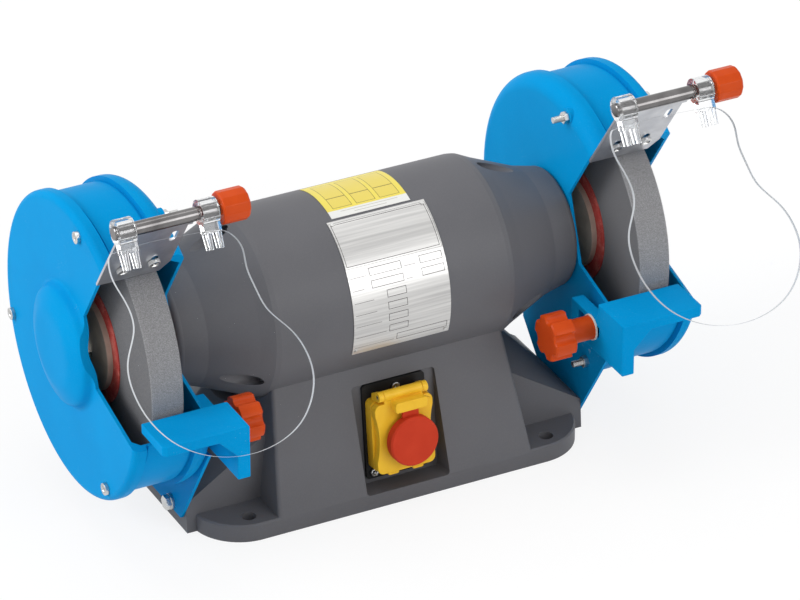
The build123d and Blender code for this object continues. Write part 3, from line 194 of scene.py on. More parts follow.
class ShaderSheet:
    """One material's nodes."""

    def __init__(self, name: str) -> None:
        """Starts an empty material of that name."""
        self.material = bpy.data.materials.new(name)
        self.material.use_nodes = True
        self.tree = self.material.node_tree
        self.tree.nodes.clear()

    def node(
        self,
        kind: str,
        settings: Optional[dict[str, Any]] = None,
        inputs: Optional[dict[Union[str, int], Any]] = None,
        output: Union[str, int] = 0,
    ) -> Signal:
        """Adds a node.

        Args:
            kind: Blender's name of the node type.
            settings: Attributes of the node, set first.
            inputs: Values or signals for its sockets.
            output: The socket that is handed on.

        Returns:
            The chosen output.
        """
        made = self.tree.nodes.new(kind)
        for name, value in (settings or {}).items():
            setattr(made, name, value)
        for key, value in (inputs or {}).items():
            if isinstance(value, Signal):
                self.tree.links.new(value.socket, made.inputs[key])
            else:
                made.inputs[key].default_value = value
        return Signal(self, made.outputs[output])

    def place(self) -> Signal:
        """Position on the piece, in metres."""
        return self.node("ShaderNodeTexCoord", output="Object")

    def axes(self) -> tuple[Signal, Signal, Signal]:
        """The three numbers of the position, in millimetres."""
        split = self.node("ShaderNodeSeparateXYZ", inputs={0: self.place()})
        outputs = split.socket.node.outputs
        return tuple(Signal(self, outputs[i]) * (1 / MM) for i in range(3))

    def noise(
        self,
        scale: float,
        detail: float = 3.0,
        stretch: Optional[tuple[float, float, float]] = None,
    ) -> Signal:
        """Cloudy noise from 0 to 1.

        Args:
            scale: Clouds to the metre.
            detail: Octaves of finer clouds.
            stretch: Scale of each axis, for a grain that runs one way.

        Returns:
            The noise value.
        """
        where = self.place()
        if stretch:
            where = self.node("ShaderNodeMapping", inputs={"Vector": where, "Scale": stretch})
        return self.node("ShaderNodeTexNoise", inputs={"Vector": where, "Scale": scale, "Detail": detail})

    def cells(self, scale: float) -> Signal:
        """Distance to the middle of the nearest cell.

        Args:
            scale: Cells to the metre.

        Returns:
            The distance, about 0 to 1.
        """
        return self.node("ShaderNodeTexVoronoi", inputs={"Vector": self.place(), "Scale": scale})

    def ramp(self, value: Signal, low: float, high: float) -> Signal:
        """A value stretched so that low gives 0 and high gives 1.

        Args:
            value: What is stretched.
            low: The value that becomes 0.
            high: The value that becomes 1.

        Returns:
            The stretched value, kept from 0 to 1.
        """
        return self.node("ShaderNodeMapRange", inputs={"Value": value, "From Min": low, "From Max": high})

    def blend(self, share: Signal, first: Union[Signal, Colour], second: Union[Signal, Colour]) -> Signal:
        """Mixes two colours.

        Args:
            share: 0 gives the first colour and 1 the second.
            first: A colour.
            second: A colour.

        Returns:
            The mixed colour.
        """
        return self.node("ShaderNodeMix", {"data_type": "RGBA"}, {0: share, 6: first, 7: second}, 2)

    def relief(self, height: Signal, depth: float) -> Signal:
        """A surface normal from a height.

        Args:
            height: Height from 0 to 1.
            depth: What a height of 1 stands for.

        Returns:
            The bent normal.
        """
        return self.node(
            "ShaderNodeBump", inputs={"Strength": 1.0, "Distance": depth * MM, "Height": height}
        )

    def surface(self, **sockets: Any) -> bpy.types.Material:
        """Ends the material with a Principled shader.

        Args:
            sockets: Values or signals by socket name, with _ for a space.

        Returns:
            The material.
        """
        named = {key.replace("_", " "): value for key, value in sockets.items()}
        return self.close(self.node("ShaderNodeBsdfPrincipled", inputs=named))

    def close(self, shader: Signal) -> bpy.types.Material:
        """Leads a shader to the material's output, and gives the material."""
        end = self.tree.nodes.new("ShaderNodeOutputMaterial")
        self.tree.links.new(shader.socket, end.inputs["Surface"])
        return self.material


@dataclass(frozen=True)
class Wear:
    """A place on a painted piece where the paint is knocked off in flakes."""

    centre: tuple[float, float, float]
    reach: float

    def mask(self, sheet: ShaderSheet) -> Signal:
        """1 at the middle of the place, falling to 0 at its reach."""
        away = 0.0
        for part, middle in zip(sheet.axes(), self.centre):
            away = (part - middle) ** 2.0 + away
        return sheet.ramp(away ** 0.5, self.reach, self.reach * 0.4)


@dataclass(frozen=True)
class Enamel:
    """Stoved enamel on a casting or a pressing, faintly mottled, with orange peel and small chips."""

    colour: Colour
    deep: Colour
    bare: Colour
    roughness: float
    shine: float
    peel: float
    grain: float
    chips: float
    wear: Optional[Wear] = None
    cloud_scale: float = 14.0
    speckle_scale: float = 900.0
    patch_scale: float = 45.0
    chip_scale: float = 420.0
    flake_scale: float = 190.0
    fine_peel_scale: float = 520.0
    broad_peel_scale: float = 130.0

    def make(self, name: str) -> bpy.types.Material:
        """The material of that name."""
        sheet = ShaderSheet(name)
        clouds = sheet.noise(self.cloud_scale, 4.0)
        speckle = sheet.noise(self.speckle_scale, 2.0)
        body = sheet.blend(sheet.ramp(clouds, 0.3, 0.7), self.deep, self.colour)
        body = sheet.blend(sheet.ramp(speckle, 0.45, 0.85) * self.grain, body, self.bare)
        patches = sheet.ramp(sheet.noise(self.patch_scale, 2.0), 0.55, 0.7)
        chip = patches * sheet.ramp(sheet.cells(self.chip_scale), 0.16, 0.1) * self.chips
        if self.wear:
            flakes = sheet.ramp(sheet.noise(self.flake_scale, 3.0), 0.6, 0.64)
            chip = chip.either(flakes * self.wear.mask(sheet))
        roughness = self.roughness + (speckle - 0.5) * 0.12 + (clouds - 0.5) * 0.1
        fine_peel = sheet.noise(self.fine_peel_scale, 2.0)
        broad_peel = sheet.noise(self.broad_peel_scale, 2.0)
        height = fine_peel * 0.6 + broad_peel * 0.4 - chip
        return sheet.surface(
            Base_Color=sheet.blend(chip, body, self.bare),
            Roughness=roughness,
            Normal=sheet.relief(height, self.peel),
            Specular_IOR_Level=self.shine,
        )


@dataclass(frozen=True)
class BrightMetal:
    """Bare or plated metal with a fine grain along one direction, and a screw thread where one is given."""

    colour: Colour
    dull: Colour
    roughness: float
    stretch: tuple[float, float, float]
    scratch: float
    metallic: float = 1.0
    thread: float = 0.0
    thread_pitch: float = 0.9
    thread_depth: float = 0.35
    grain_scale: float = 260.0
    bloom_scale: float = 60.0

    def make(self, name: str) -> bpy.types.Material:
        """The material of that name. A thread runs along the shaft, nearer the middle than its own value."""
        sheet = ShaderSheet(name)
        grain = sheet.noise(self.grain_scale, 4.0, self.stretch)
        bloom = sheet.noise(self.bloom_scale, 3.0)
        normal = sheet.relief(grain, self.scratch)
        if self.thread:
            along = abs(sheet.axes()[0])
            half_pitch = self.thread_pitch / 2
            ridge = sheet.node("ShaderNodeMath", {"operation": "PINGPONG"}, {0: along, 1: half_pitch})
            height = ridge * (2.0 / self.thread_pitch) * (along < self.thread)
            normal = sheet.relief(grain * (self.scratch / self.thread_depth) + height, self.thread_depth)
        return sheet.surface(
            Base_Color=sheet.blend(sheet.ramp(bloom, 0.35, 0.75), self.colour, self.dull),
            Metallic=self.metallic,
            Roughness=self.roughness + (grain - 0.5) * 0.25 + (bloom - 0.5) * 0.1,
            Normal=normal,
        )


@dataclass(frozen=True)
class Moulding:
    """Moulded plastic with a fine spark-eroded texture and a little flow marking."""

    colour: Colour
    deep: Colour
    roughness: float
    texture: float
    shine: float = 0.2
    flow_scale: float = 70.0
    grain_scale: float = 2200.0

    def make(self, name: str) -> bpy.types.Material:
        """The material of that name."""
        sheet = ShaderSheet(name)
        flow = sheet.noise(self.flow_scale, 3.0)
        grain = sheet.noise(self.grain_scale, 2.0)
        return sheet.surface(
            Base_Color=sheet.blend(sheet.ramp(flow, 0.3, 0.8), self.colour, self.deep),
            Roughness=self.roughness + (grain - 0.5) * 0.15 + (flow - 0.5) * 0.12,
            Normal=sheet.relief(grain, self.texture),
            Specular_IOR_Level=self.shine,
        )


@dataclass(frozen=True)
class Abrasive:
    """Vitrified grit: pale and dark grains in a grey bond, with open pores, and painted shade on the sides
    standing in for the guard's shadow.
    """

    bond: Colour
    pale: Colour
    dark: Colour
    # side: painted shade colour for the wheel's sides, standing in for the guard's shadow on them
    side: Colour
    wheel_offset: float = 196.5
    rim_half: float = 12.3
    painted_side_shade: float = 0.7
    grain_scale: float = 1500.0
    fine_scale: float = 3800.0
    pore_scale: float = 900.0

    def make(self, name: str) -> bpy.types.Material:
        """The material of that name."""
        sheet = ShaderSheet(name)
        grains = sheet.noise(self.grain_scale, 2.0)
        fine = sheet.noise(self.fine_scale, 1.0)
        pores = sheet.cells(self.pore_scale)
        body = sheet.blend(sheet.ramp(grains, 0.42, 0.62), self.dark, self.bond)
        body = sheet.blend(sheet.ramp(fine, 0.58, 0.72), body, self.pale)
        body = sheet.blend(sheet.ramp(pores, 0.2, 0.05) * 0.7, body, self.dark)
        # Painted shade: the wheel's sides away from the rim are blended towards the side colour, standing in
        # for the guard's shadow
        shaded_sides_mask = abs(abs(sheet.axes()[0]) - self.wheel_offset) > self.rim_half
        body = sheet.blend(shaded_sides_mask * self.painted_side_shade, body, self.side)
        return sheet.surface(
            Base_Color=body,
            Roughness=0.92 + (grains - 0.5) * 0.1,
            Normal=sheet.relief(grains * 0.6 + fine * 0.4, 0.5),
            Specular_IOR_Level=0.2,
        )


@dataclass(frozen=True)
class Card:
    """Pressed card with visible fibre."""

    colour: Colour
    worn: Colour
    fibre_scale: float = 1100.0
    wear_scale: float = 120.0

    def make(self, name: str) -> bpy.types.Material:
        """The material of that name."""
        sheet = ShaderSheet(name)
        fibre = sheet.noise(self.fibre_scale, 5.0)
        wear = sheet.noise(self.wear_scale, 4.0)
        return sheet.surface(
            Base_Color=sheet.blend(sheet.ramp(wear * 0.6 + fibre * 0.4, 0.48, 0.72), self.colour, self.worn),
            Roughness=0.85 + (fibre - 0.5) * 0.15,
            Normal=sheet.relief(fibre, 0.15),
        )


@dataclass(frozen=True)
class ClearPlastic:
    """Clear sheet or moulding. The body is what share of it the eye stops at, and the bend its IOR."""

    tint: Colour
    roughness: float
    through: float
    body: float
    bend: float = 1.49
    smear_scale: float = 9.0

    def make(self, name: str) -> bpy.types.Material:
        """The material of that name."""
        sheet = ShaderSheet(name)
        smear = sheet.noise(self.smear_scale, 3.0)
        return sheet.surface(
            Base_Color=self.tint,
            Roughness=sheet.ramp(smear, 0.3, 0.8) * 0.03 + self.roughness,
            Transmission_Weight=self.through,
            IOR=self.bend,
            Alpha=(smear - 0.5) * (0.1 * self.body) + self.body,
        )


@dataclass(frozen=True)
class Unrolled:
    """Places on a plate bent round the motor: along the shaft, and up round the housing from the front."""

    axis_height: float
    radius: float

    def axes(self, sheet: ShaderSheet) -> tuple[Signal, Signal]:
        """Distance along the shaft and distance round the housing, in millimetres."""
        along, depth, height = sheet.axes()
        return along, (height - self.axis_height).angle_from(depth * -1.0) * self.radius


@dataclass(frozen=True)
class Field:
    """A printed box on a bent plate: its left, right, lower and upper edges."""

    left: float
    right: float
    low: float
    high: float

    def inside(self, along: Signal, up: Signal) -> Signal:
        """1 inside the box."""
        half_width = (self.right - self.left) / 2
        half_height = (self.high - self.low) / 2
        across = abs(along - (self.left + self.right) / 2) < half_width
        return across * (abs(up - (self.low + self.high) / 2) < half_height)

    def rim(self, along: Signal, up: Signal, line: float) -> Signal:
        """1 on a line of that width just inside the box's edge."""
        inner = Field(self.left + line, self.right - line, self.low + line, self.high - line)
        return self.inside(along, up) - inner.inside(along, up)


@dataclass(frozen=True)
class RatingPlate:
    """Brushed plate with a bare framed head and rows of empty ruled boxes."""

    wrap: Unrolled
    metal: Colour = paint(214, 213, 211)
    ink: Colour = paint(52, 50, 50)
    head: Field = Field(-33.6, 41.6, 46.0, 80.4)
    head_gap: float = 1.4
    line: float = 0.42
    row_top: float = 42.2
    row_pitch: float = 9.27
    row_height: float = 5.8
    boxes: tuple[tuple[int, float, float], ...] = (
        (0, -17.8, 8.2), (0, 23.0, 41.2),
        (1, -17.8, 8.2), (1, 23.0, 41.2),
        (2, -6.8, 8.8), (3, -6.8, 8.8), (4, -6.8, 8.8), (5, -6.4, 9.0),
        (6, 0.2, 41.2),
    )
    rules: tuple[tuple[int, float, float], ...] = (
        (0, -33.2, -20.4), (1, -33.2, -24.0), (2, -33.2, -17.6), (3, -33.2, -16.2),
        (4, -33.2, -12.6), (5, -33.2, -8.6), (6, -33.2, -2.0), (0, 10.0, 19.4), (1, 10.0, 15.2),
    )

    def row(self, number: int, left: float, right: float) -> Field:
        """The box of a row between two places along the shaft."""
        high = self.row_top - number * self.row_pitch
        return Field(left, right, high - self.row_height, high)

    def make(self, name: str) -> bpy.types.Material:
        """The material of that name."""
        sheet = ShaderSheet(name)
        along, up = self.wrap.axes(sheet)
        print_mask = self.head.rim(along, up, self.line)
        gap = self.head_gap
        outer = Field(self.head.left - gap, self.head.right + gap, self.head.low - gap, self.head.high + gap)
        print_mask = print_mask.either(outer.rim(along, up, self.line / 2))
        for number, left, right in self.boxes:
            print_mask = print_mask.either(self.row(number, left, right).rim(along, up, self.line))
        for number, left, right in self.rules:
            box = self.row(number, left, right)
            rule = Field(left, right, box.low + 0.7, box.low + 0.7 + self.line)
            print_mask = print_mask.either(rule.inside(along, up) * 0.75)
        brush = sheet.noise(180.0, 4.0, (0.06, 3.0, 3.0))
        body = sheet.blend(sheet.ramp(brush, 0.3, 0.7), self.metal, paint(184, 183, 182))
        return sheet.surface(
            Base_Color=sheet.blend(print_mask, body, self.ink),
            Metallic=0.75 - print_mask * 0.75,
            Roughness=0.34 + (brush - 0.5) * 0.2 + print_mask * 0.2,
            Normal=sheet.relief(brush, 0.02),
        )


@dataclass(frozen=True)
class GuideFilm:
    """Printed film with three empty panels and a pale strip along its lower edge."""

    wrap: Unrolled
    film: Colour = paint(232, 214, 84)
    panel: Colour = paint(224, 204, 92)
    strip: Colour = paint(226, 226, 222)
    ink: Colour = paint(92, 78, 24)
    strip_top: float = 93.2
    line: float = 0.45
    panel_low: float = 95.2
    panel_step: float = 107.6
    panel_high: float = 134.0
    panels: tuple[tuple[float, float], ...] = ((-24.4, -8.7), (-5.3, 10.2), (13.5, 29.8))
    rules: tuple[tuple[float, float, float], ...] = ((-20.0, 26.0, 91.0), (-10.0, 16.0, 88.4))

    def make(self, name: str) -> bpy.types.Material:
        """The material of that name."""
        sheet = ShaderSheet(name)
        along, up = self.wrap.axes(sheet)
        tone = sheet.noise(60.0, 3.0)
        body = sheet.blend(sheet.ramp(tone, 0.3, 0.8), self.film, paint(226, 208, 96))
        ink = tone * 0.0
        fill = tone * 0.0
        for left, right in self.panels:
            for low, high in ((self.panel_low, self.panel_step), (self.panel_step, self.panel_high)):
                box = Field(left, right, low, high)
                fill = fill.either(box.inside(along, up))
                ink = ink.either(box.rim(along, up, self.line) * 0.8)
        for left, right, low in self.rules:
            ink = ink.either(Field(left, right, low, low + self.line).inside(along, up) * 0.5)
        body = sheet.blend(fill, body, self.panel)
        body = sheet.blend(up < self.strip_top, body, self.strip)
        return sheet.surface(
            Base_Color=sheet.blend(ink, body, self.ink),
            Roughness=0.38 + (tone - 0.5) * 0.2,
            Normal=sheet.relief(tone, 0.05),
        )


class Palette:
    """Every finish on the grinder."""

    def __init__(self) -> None:
        """Makes the materials."""
        wrap = Unrolled(axis_height=147.0, radius=70.5)
        blue = Enamel(
            colour=paint(4, 148, 211),
            deep=paint(3, 140, 203),
            bare=paint(150, 196, 222),
            roughness=0.34,
            shine=0.008,
            peel=0.02,
            grain=0.03,
            chips=0.3,
        )
        lug_wear = Wear(centre=(163.0, -66.0, 92.0), reach=26.0)
        self.blue = blue.make("blue_enamel")
        self.worn_blue = replace(blue, wear=lug_wear).make("worn_blue_enamel")
        self.grey = Enamel(
            colour=paint(98, 98, 102),
            deep=paint(92, 92, 96),
            bare=paint(132, 132, 135),
            roughness=0.5,
            shine=0.3,
            peel=0.025,
            grain=0.1,
            chips=0.03,
        ).make("grey_enamel")
        zinc = BrightMetal(
            paint(214, 214, 212), paint(184, 184, 184), roughness=0.3, stretch=(1.0, 1.0, 1.0), scratch=0.01
        )
        self.zinc = zinc.make("zinc_plate")
        self.threaded = replace(zinc, thread=158.9).make("threaded_zinc")
        self.sheet_steel = BrightMetal(
            paint(206, 207, 210), paint(180, 181, 186), roughness=0.4, stretch=(0.3, 2.0, 2.0), scratch=0.02
        ).make("arrestor_steel")
        self.rod = BrightMetal(
            paint(126, 124, 124), paint(98, 96, 96), roughness=0.16, stretch=(0.05, 2.0, 2.0), scratch=0.005
        ).make("polished_rod")
        self.turned = BrightMetal(
            paint(198, 186, 170),
            paint(168, 156, 142),
            roughness=0.45,
            stretch=(6.0, 0.4, 0.4),
            scratch=0.03,
            metallic=0.35,
        ).make("turned_steel")
        self.core = BrightMetal(
            paint(120, 120, 124), paint(88, 88, 92), roughness=0.5, stretch=(12.0, 0.2, 0.2), scratch=0.08
        ).make("laminations")
        self.copper = BrightMetal(
            paint(186, 104, 60), paint(130, 66, 38), roughness=0.4, stretch=(0.4, 3.0, 3.0), scratch=0.15
        ).make("varnished_copper")
        self.can = BrightMetal(
            paint(208, 208, 210), paint(180, 180, 184), roughness=0.35, stretch=(0.2, 2.0, 2.0), scratch=0.02
        ).make("drawn_can")
        self.grit = Abrasive(
            # The last colour is painted shade for the wheel's sides, which the guard shadows
            paint(156, 156, 158), paint(184, 184, 186), paint(128, 128, 130), paint(88, 88, 90)
        ).make("grey_grit")
        self.card = Card(paint(178, 58, 52), paint(206, 120, 106)).make("red_card")
        self.orange = Moulding(
            paint(204, 74, 18), paint(192, 64, 12), roughness=0.36, texture=0.015, shine=0.15
        ).make("orange_moulding")
        self.yellow = Moulding(
            paint(246, 198, 52), paint(236, 182, 40), roughness=0.34, texture=0.012
        ).make("yellow_moulding")
        self.red = Moulding(
            paint(204, 64, 38), paint(196, 58, 34), roughness=0.5, texture=0.015, shine=0.1
        ).make("red_moulding")
        self.green = Moulding(
            paint(40, 140, 74), paint(30, 116, 60), roughness=0.4, texture=0.012
        ).make("green_moulding")
        self.black = Moulding(
            paint(30, 30, 31), paint(20, 20, 21), roughness=0.5, texture=0.03
        ).make("black_moulding")
        self.nylon = Moulding(
            paint(226, 225, 218), paint(210, 208, 200), roughness=0.45, texture=0.01
        ).make("pale_nylon")
        self.clear = ClearPlastic(
            (1.0, 1.0, 1.0, 1.0), roughness=0.0, through=1.0, body=0.04, bend=1.02
        ).make("clear_sheet")
        self.sawn_edge = ClearPlastic(
            paint(196, 200, 204), roughness=0.45, through=0.0, body=0.92
        ).make("sawn_edge")
        self.clear_moulding = ClearPlastic(
            paint(240, 241, 242), roughness=0.03, through=1.0, body=1.0
        ).make("clear_moulding")
        self.plate = RatingPlate(wrap).make("rating_plate")
        self.film = GuideFilm(wrap).make("guide_film")


def shown(
    bm: bmesh.types.BMesh, name: str, *materials: bpy.types.Material, sharp: float = 35.0
) -> bpy.types.Object:
    """Turns a finished bmesh into an object at the origin.

    Args:
        bm: The mesh, in metres in the row frame. It is freed.
        name: Name of the piece.
        materials: Its finishes, in the order of the faces' material index.
        sharp: Edges that turn by more than this many degrees stay crisp.

    Returns:
        The object.
    """
    bmesh.ops.remove_doubles(bm, verts=bm.verts, dist=WELD)
    bmesh.ops.recalc_face_normals(bm, faces=bm.faces)
    mesh = bpy.data.meshes.new(name)
    bm.to_mesh(mesh)
    bm.free()
    mesh.polygons.foreach_set("use_smooth", [True] * len(mesh.polygons))
    mesh.set_sharp_from_angle(angle=math.radians(sharp))
    for material in materials:
        mesh.materials.append(material)
    obj = bpy.data.objects.new(name, mesh)
    bpy.context.scene.collection.objects.link(obj)
    return obj


def shells(bm: bmesh.types.BMesh) -> list[list[bmesh.types.BMVert]]:
    """Vertices of each separate shell of a mesh."""
    seen: set[bmesh.types.BMVert] = set()
    found = []
    for start in bm.verts:
        if start in seen:
            continue
        seen.add(start)
        shell = [start]
        for vert in shell:
            for edge in vert.link_edges:
                other = edge.other_vert(vert)
                if other not in seen:
                    seen.add(other)
                    shell.append(other)
        found.append(shell)
    return found


class Bench:
    """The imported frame, and the pieces that are laid on it."""

    def __init__(self, frame: dict[str, Any]) -> None:
        """Keeps the nodes, and the material slot that the record names for each."""
        self.nodes = frame["nodes"]
        self.slots = {part["node"]: part["material_slot"] for part in frame["record"]["subparts"]}

    def dress(self, names: Iterable[str], material: bpy.types.Material) -> None:
        """Gives CAD nodes a finish.

        Args:
            names: Names of the nodes.
            material: The finish.
        """
        for name in names:
            slots = self.nodes[name].data.materials
            slots.clear()
            slots.append(material)
            LOG.info("dressed %s", name)

    def merged(self, node: str) -> bmesh.types.BMesh:
        """A copy of a node's mesh, its loose triangles joined and its flat faces made whole."""
        bm = bmesh.new()
        bm.from_mesh(self.nodes[node].data)
        bmesh.ops.remove_doubles(bm, verts=bm.verts, dist=TRIANGLE_WELD)
        bmesh.ops.dissolve_limit(
            bm, angle_limit=math.radians(FLAT_TURN), verts=bm.verts, edges=bm.edges
        )
        return bm

    def stand_in(self, bm: bmesh.types.BMesh, node: str, *materials: bpy.types.Material) -> bpy.types.Object:
        """Shows a finished mesh in place of a node.

        Args:
            bm: The mesh. It is freed.
            node: The node, whose body the piece takes.
            materials: Its finishes, in the order of the faces' material index.

        Returns:
            The piece.
        """
        piece = shown(bm, f"{node}_finish", *materials)
        flats = piece.modifiers.new("flat faces", "WEIGHTED_NORMAL")
        flats.keep_sharp = True
        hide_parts(node)
        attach(piece, body_of(self.nodes[node])[0])
        LOG.info("built %s", piece.name)
        return piece

    def soften(
        self,
        names: Iterable[str],
        material: bpy.types.Material,
        width: float,
        segments: int = 2,
        turn: float = 28.0,
    ) -> None:
        """Replaces nodes by copies with rounded edges.

        Args:
            names: Names of the nodes.
            material: Their finish.
            width: How far the rounding reaches from an edge.
            segments: Steps of the rounding.
            turn: Edges that turn by more than this many degrees are rounded.
        """
        for name in names:
            bm = self.merged(name)
            round_edges(bm, width, segments, turn)
            self.stand_in(bm, name, material)


def round_edges(bm: bmesh.types.BMesh, width: float, segments: int, turn: float) -> None:
    """Rounds the edges of a closed mesh.

    Args:
        bm: The mesh.
        width: How far the rounding reaches from an edge.
        segments: Steps of the rounding.
        turn: Edges that turn by more than this many degrees are rounded.
    """
    limit = math.radians(turn)
    edges = [edge for edge in bm.edges if edge.is_manifold and edge.calc_face_angle() > limit]
    bmesh.ops.bevel(
        bm,
        geom=edges,
        offset=width * MM,
        offset_type="OFFSET",
        segments=segments,
        profile=0.5,
        affect="EDGES",
        clamp_overlap=True,
        material=-1,
    )


@dataclass(frozen=True)
class DriveRecess:
    """The hollow in a screw head that a driver fits."""

    shape: Recess
    across: float
    blade: float
    depth: float

    def cutter(self, bm: bmesh.types.BMesh, crown: Vector, outward: Vector) -> None:
        """Adds the hollow's own shape to a mesh.

        Args:
            bm: The mesh of cutters.
            crown: Middle of the head's outer face.
            outward: Direction out of the head.
        """
        place = Matrix.Translation(crown) @ outward.to_track_quat("Z", "Y").to_matrix().to_4x4()
        depth = 2 * self.depth * MM
        if self.shape is Recess.HEXAGON:
            radius = self.across * MM / 2
            bmesh.ops.create_cone(
                bm, cap_ends=True, segments=6, radius1=radius, radius2=radius, depth=depth, matrix=place
            )
            return
        bar = Matrix.Diagonal((self.across * MM, self.blade * MM, depth, 1.0))
        for angle in (45.0, 135.0):
            turned = place @ Matrix.Rotation(math.radians(angle), 4, "Z") @ bar
            bmesh.ops.create_cube(bm, size=1.0, matrix=turned)


@dataclass
class MotorBody:
    """Pedestal, motor tube, end bells and what is screwed to them."""

    cast_round: float = 1.3
    gland_round: float = 0.5
    tubes: tuple[str, ...] = ("motor_housing", "left_end_bell", "right_end_bell")
    bright: tuple[str, ...] = (
        "base_cover", "base_cover_screws", "housing_screws", "tie_bolts", "nameplate_rivets", "wheel_nuts",
    )
    turned: tuple[str, ...] = (
        "rotor_shaft", "wheel_flanges", "bearing_inner_rings", "bearing_outer_rings", "bearing_balls",
    )

    def dress(self, bench: Bench, palette: Palette) -> None:
        """Gives each node of the motor its finish."""
        bench.soften(("pedestal",), palette.grey, self.cast_round, 3)
        bench.dress(self.tubes, palette.grey)
        bench.dress(self.bright, palette.zinc)
        bench.dress(self.turned, palette.turned)
        bench.dress(("rotor_core", "stator_core"), palette.core)
        bench.dress(("stator_windings",), palette.copper)
        bench.dress(("capacitor",), palette.can)
        bench.soften(("cable_gland",), palette.black, self.gland_round)
        bench.dress(("nameplate",), palette.plate)
        bench.dress(("guide_label",), palette.film)


@dataclass
class WheelEnd:
    """Guard, wheel, tool rest and eye shield at one end of the shaft."""

    side: Side
    rest_round: float = 0.9
    knob_round: float = 1.0
    clamp_round: float = 0.6
    arrestor_round: float = 0.3
    shield_round: float = 0.4
    shield_tilt: float = 30.0
    washer_inner: float = 9.1
    washer_outer: float = 10.0
    washer_thickness: float = 1.2
    washer_steps: int = 48
    knob_turn: float = 18.0
    face_share: float = 0.95

    def dress(self, bench: Bench, palette: Palette) -> None:
        """Gives each node of this end its finish."""
        name = self.side.node
        guard = palette.worn_blue if self.side is Side.RIGHT else palette.blue
        bench.dress((name("inner_guard"),), guard)
        bench.dress((name("outer_cover"),), palette.blue)
        bench.soften((name("tool_rest"),), palette.blue, self.rest_round)
        bench.dress((name("wheel"),), palette.grit)
        bench.soften((name("arrestor"),), palette.sheet_steel, self.arrestor_round)
        bench.dress((name("shield_rod"),), palette.rod)
        bench.soften((name("shield_clamps"),), palette.clear_moulding, self.clamp_round)
        knobs = (name("shield_knob"), name("rest_knob"))
        bench.soften(knobs, palette.orange, self.knob_round, 3, self.knob_turn)
        self._shield(bench, palette)
        self._washer(palette)

    def _shield(self, bench: Bench, palette: Palette) -> None:
        """The clear sheet, with its sawn edge showing pale."""
        node = self.side.node("eye_shield")
        bm = bench.merged(node)
        round_edges(bm, self.shield_round, 2, 40.0)
        tilt = math.radians(self.shield_tilt)
        across = Vector((0.0, -math.cos(tilt), math.sin(tilt)))
        bm.normal_update()
        for face in bm.faces:
            face.material_index = 0 if abs(face.normal.dot(across)) > self.face_share else 1
        bench.stand_in(bm, node, palette.clear, palette.sawn_edge)

    def _washer(self, palette: Palette) -> None:
        """A pale washer round the end of the knob's boss, against the tool rest."""
        body = self.side.node("rest_knob")
        low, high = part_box(body)
        inward = -self.side.sign
        face = high.x if inward < 0 else low.x
        middle = (low + high) / 2
        centre = Vector((face + inward * self.washer_thickness / 2 * MM, middle.y, middle.z))
        ring = Vector((0.0, 0.0, (self.washer_outer + self.washer_inner) / 2 * MM))
        section = Matrix.Diagonal(
            (self.washer_thickness * MM, (self.washer_outer - self.washer_inner) * MM, 1.0, 1.0)
        )
        upright = Matrix.Rotation(math.radians(90.0), 4, "X")
        bm = bmesh.new()
        bmesh.ops.create_grid(
            bm,
            x_segments=1,
            y_segments=1,
            size=0.5,
            matrix=Matrix.Translation(centre + ring) @ upright @ section,
        )
        bmesh.ops.delete(bm, geom=bm.faces[:], context="FACES_ONLY")
        bmesh.ops.spin(
            bm,
            geom=bm.verts[:] + bm.edges[:],
            cent=centre,
            axis=(1.0, 0.0, 0.0),
            angle=math.tau,
            steps=self.washer_steps,
            use_merge=True,
        )
        piece = shown(bm, self.side.node("knob_washer"), palette.nylon)
        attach(piece, body)
        LOG.info("built %s", piece.name)


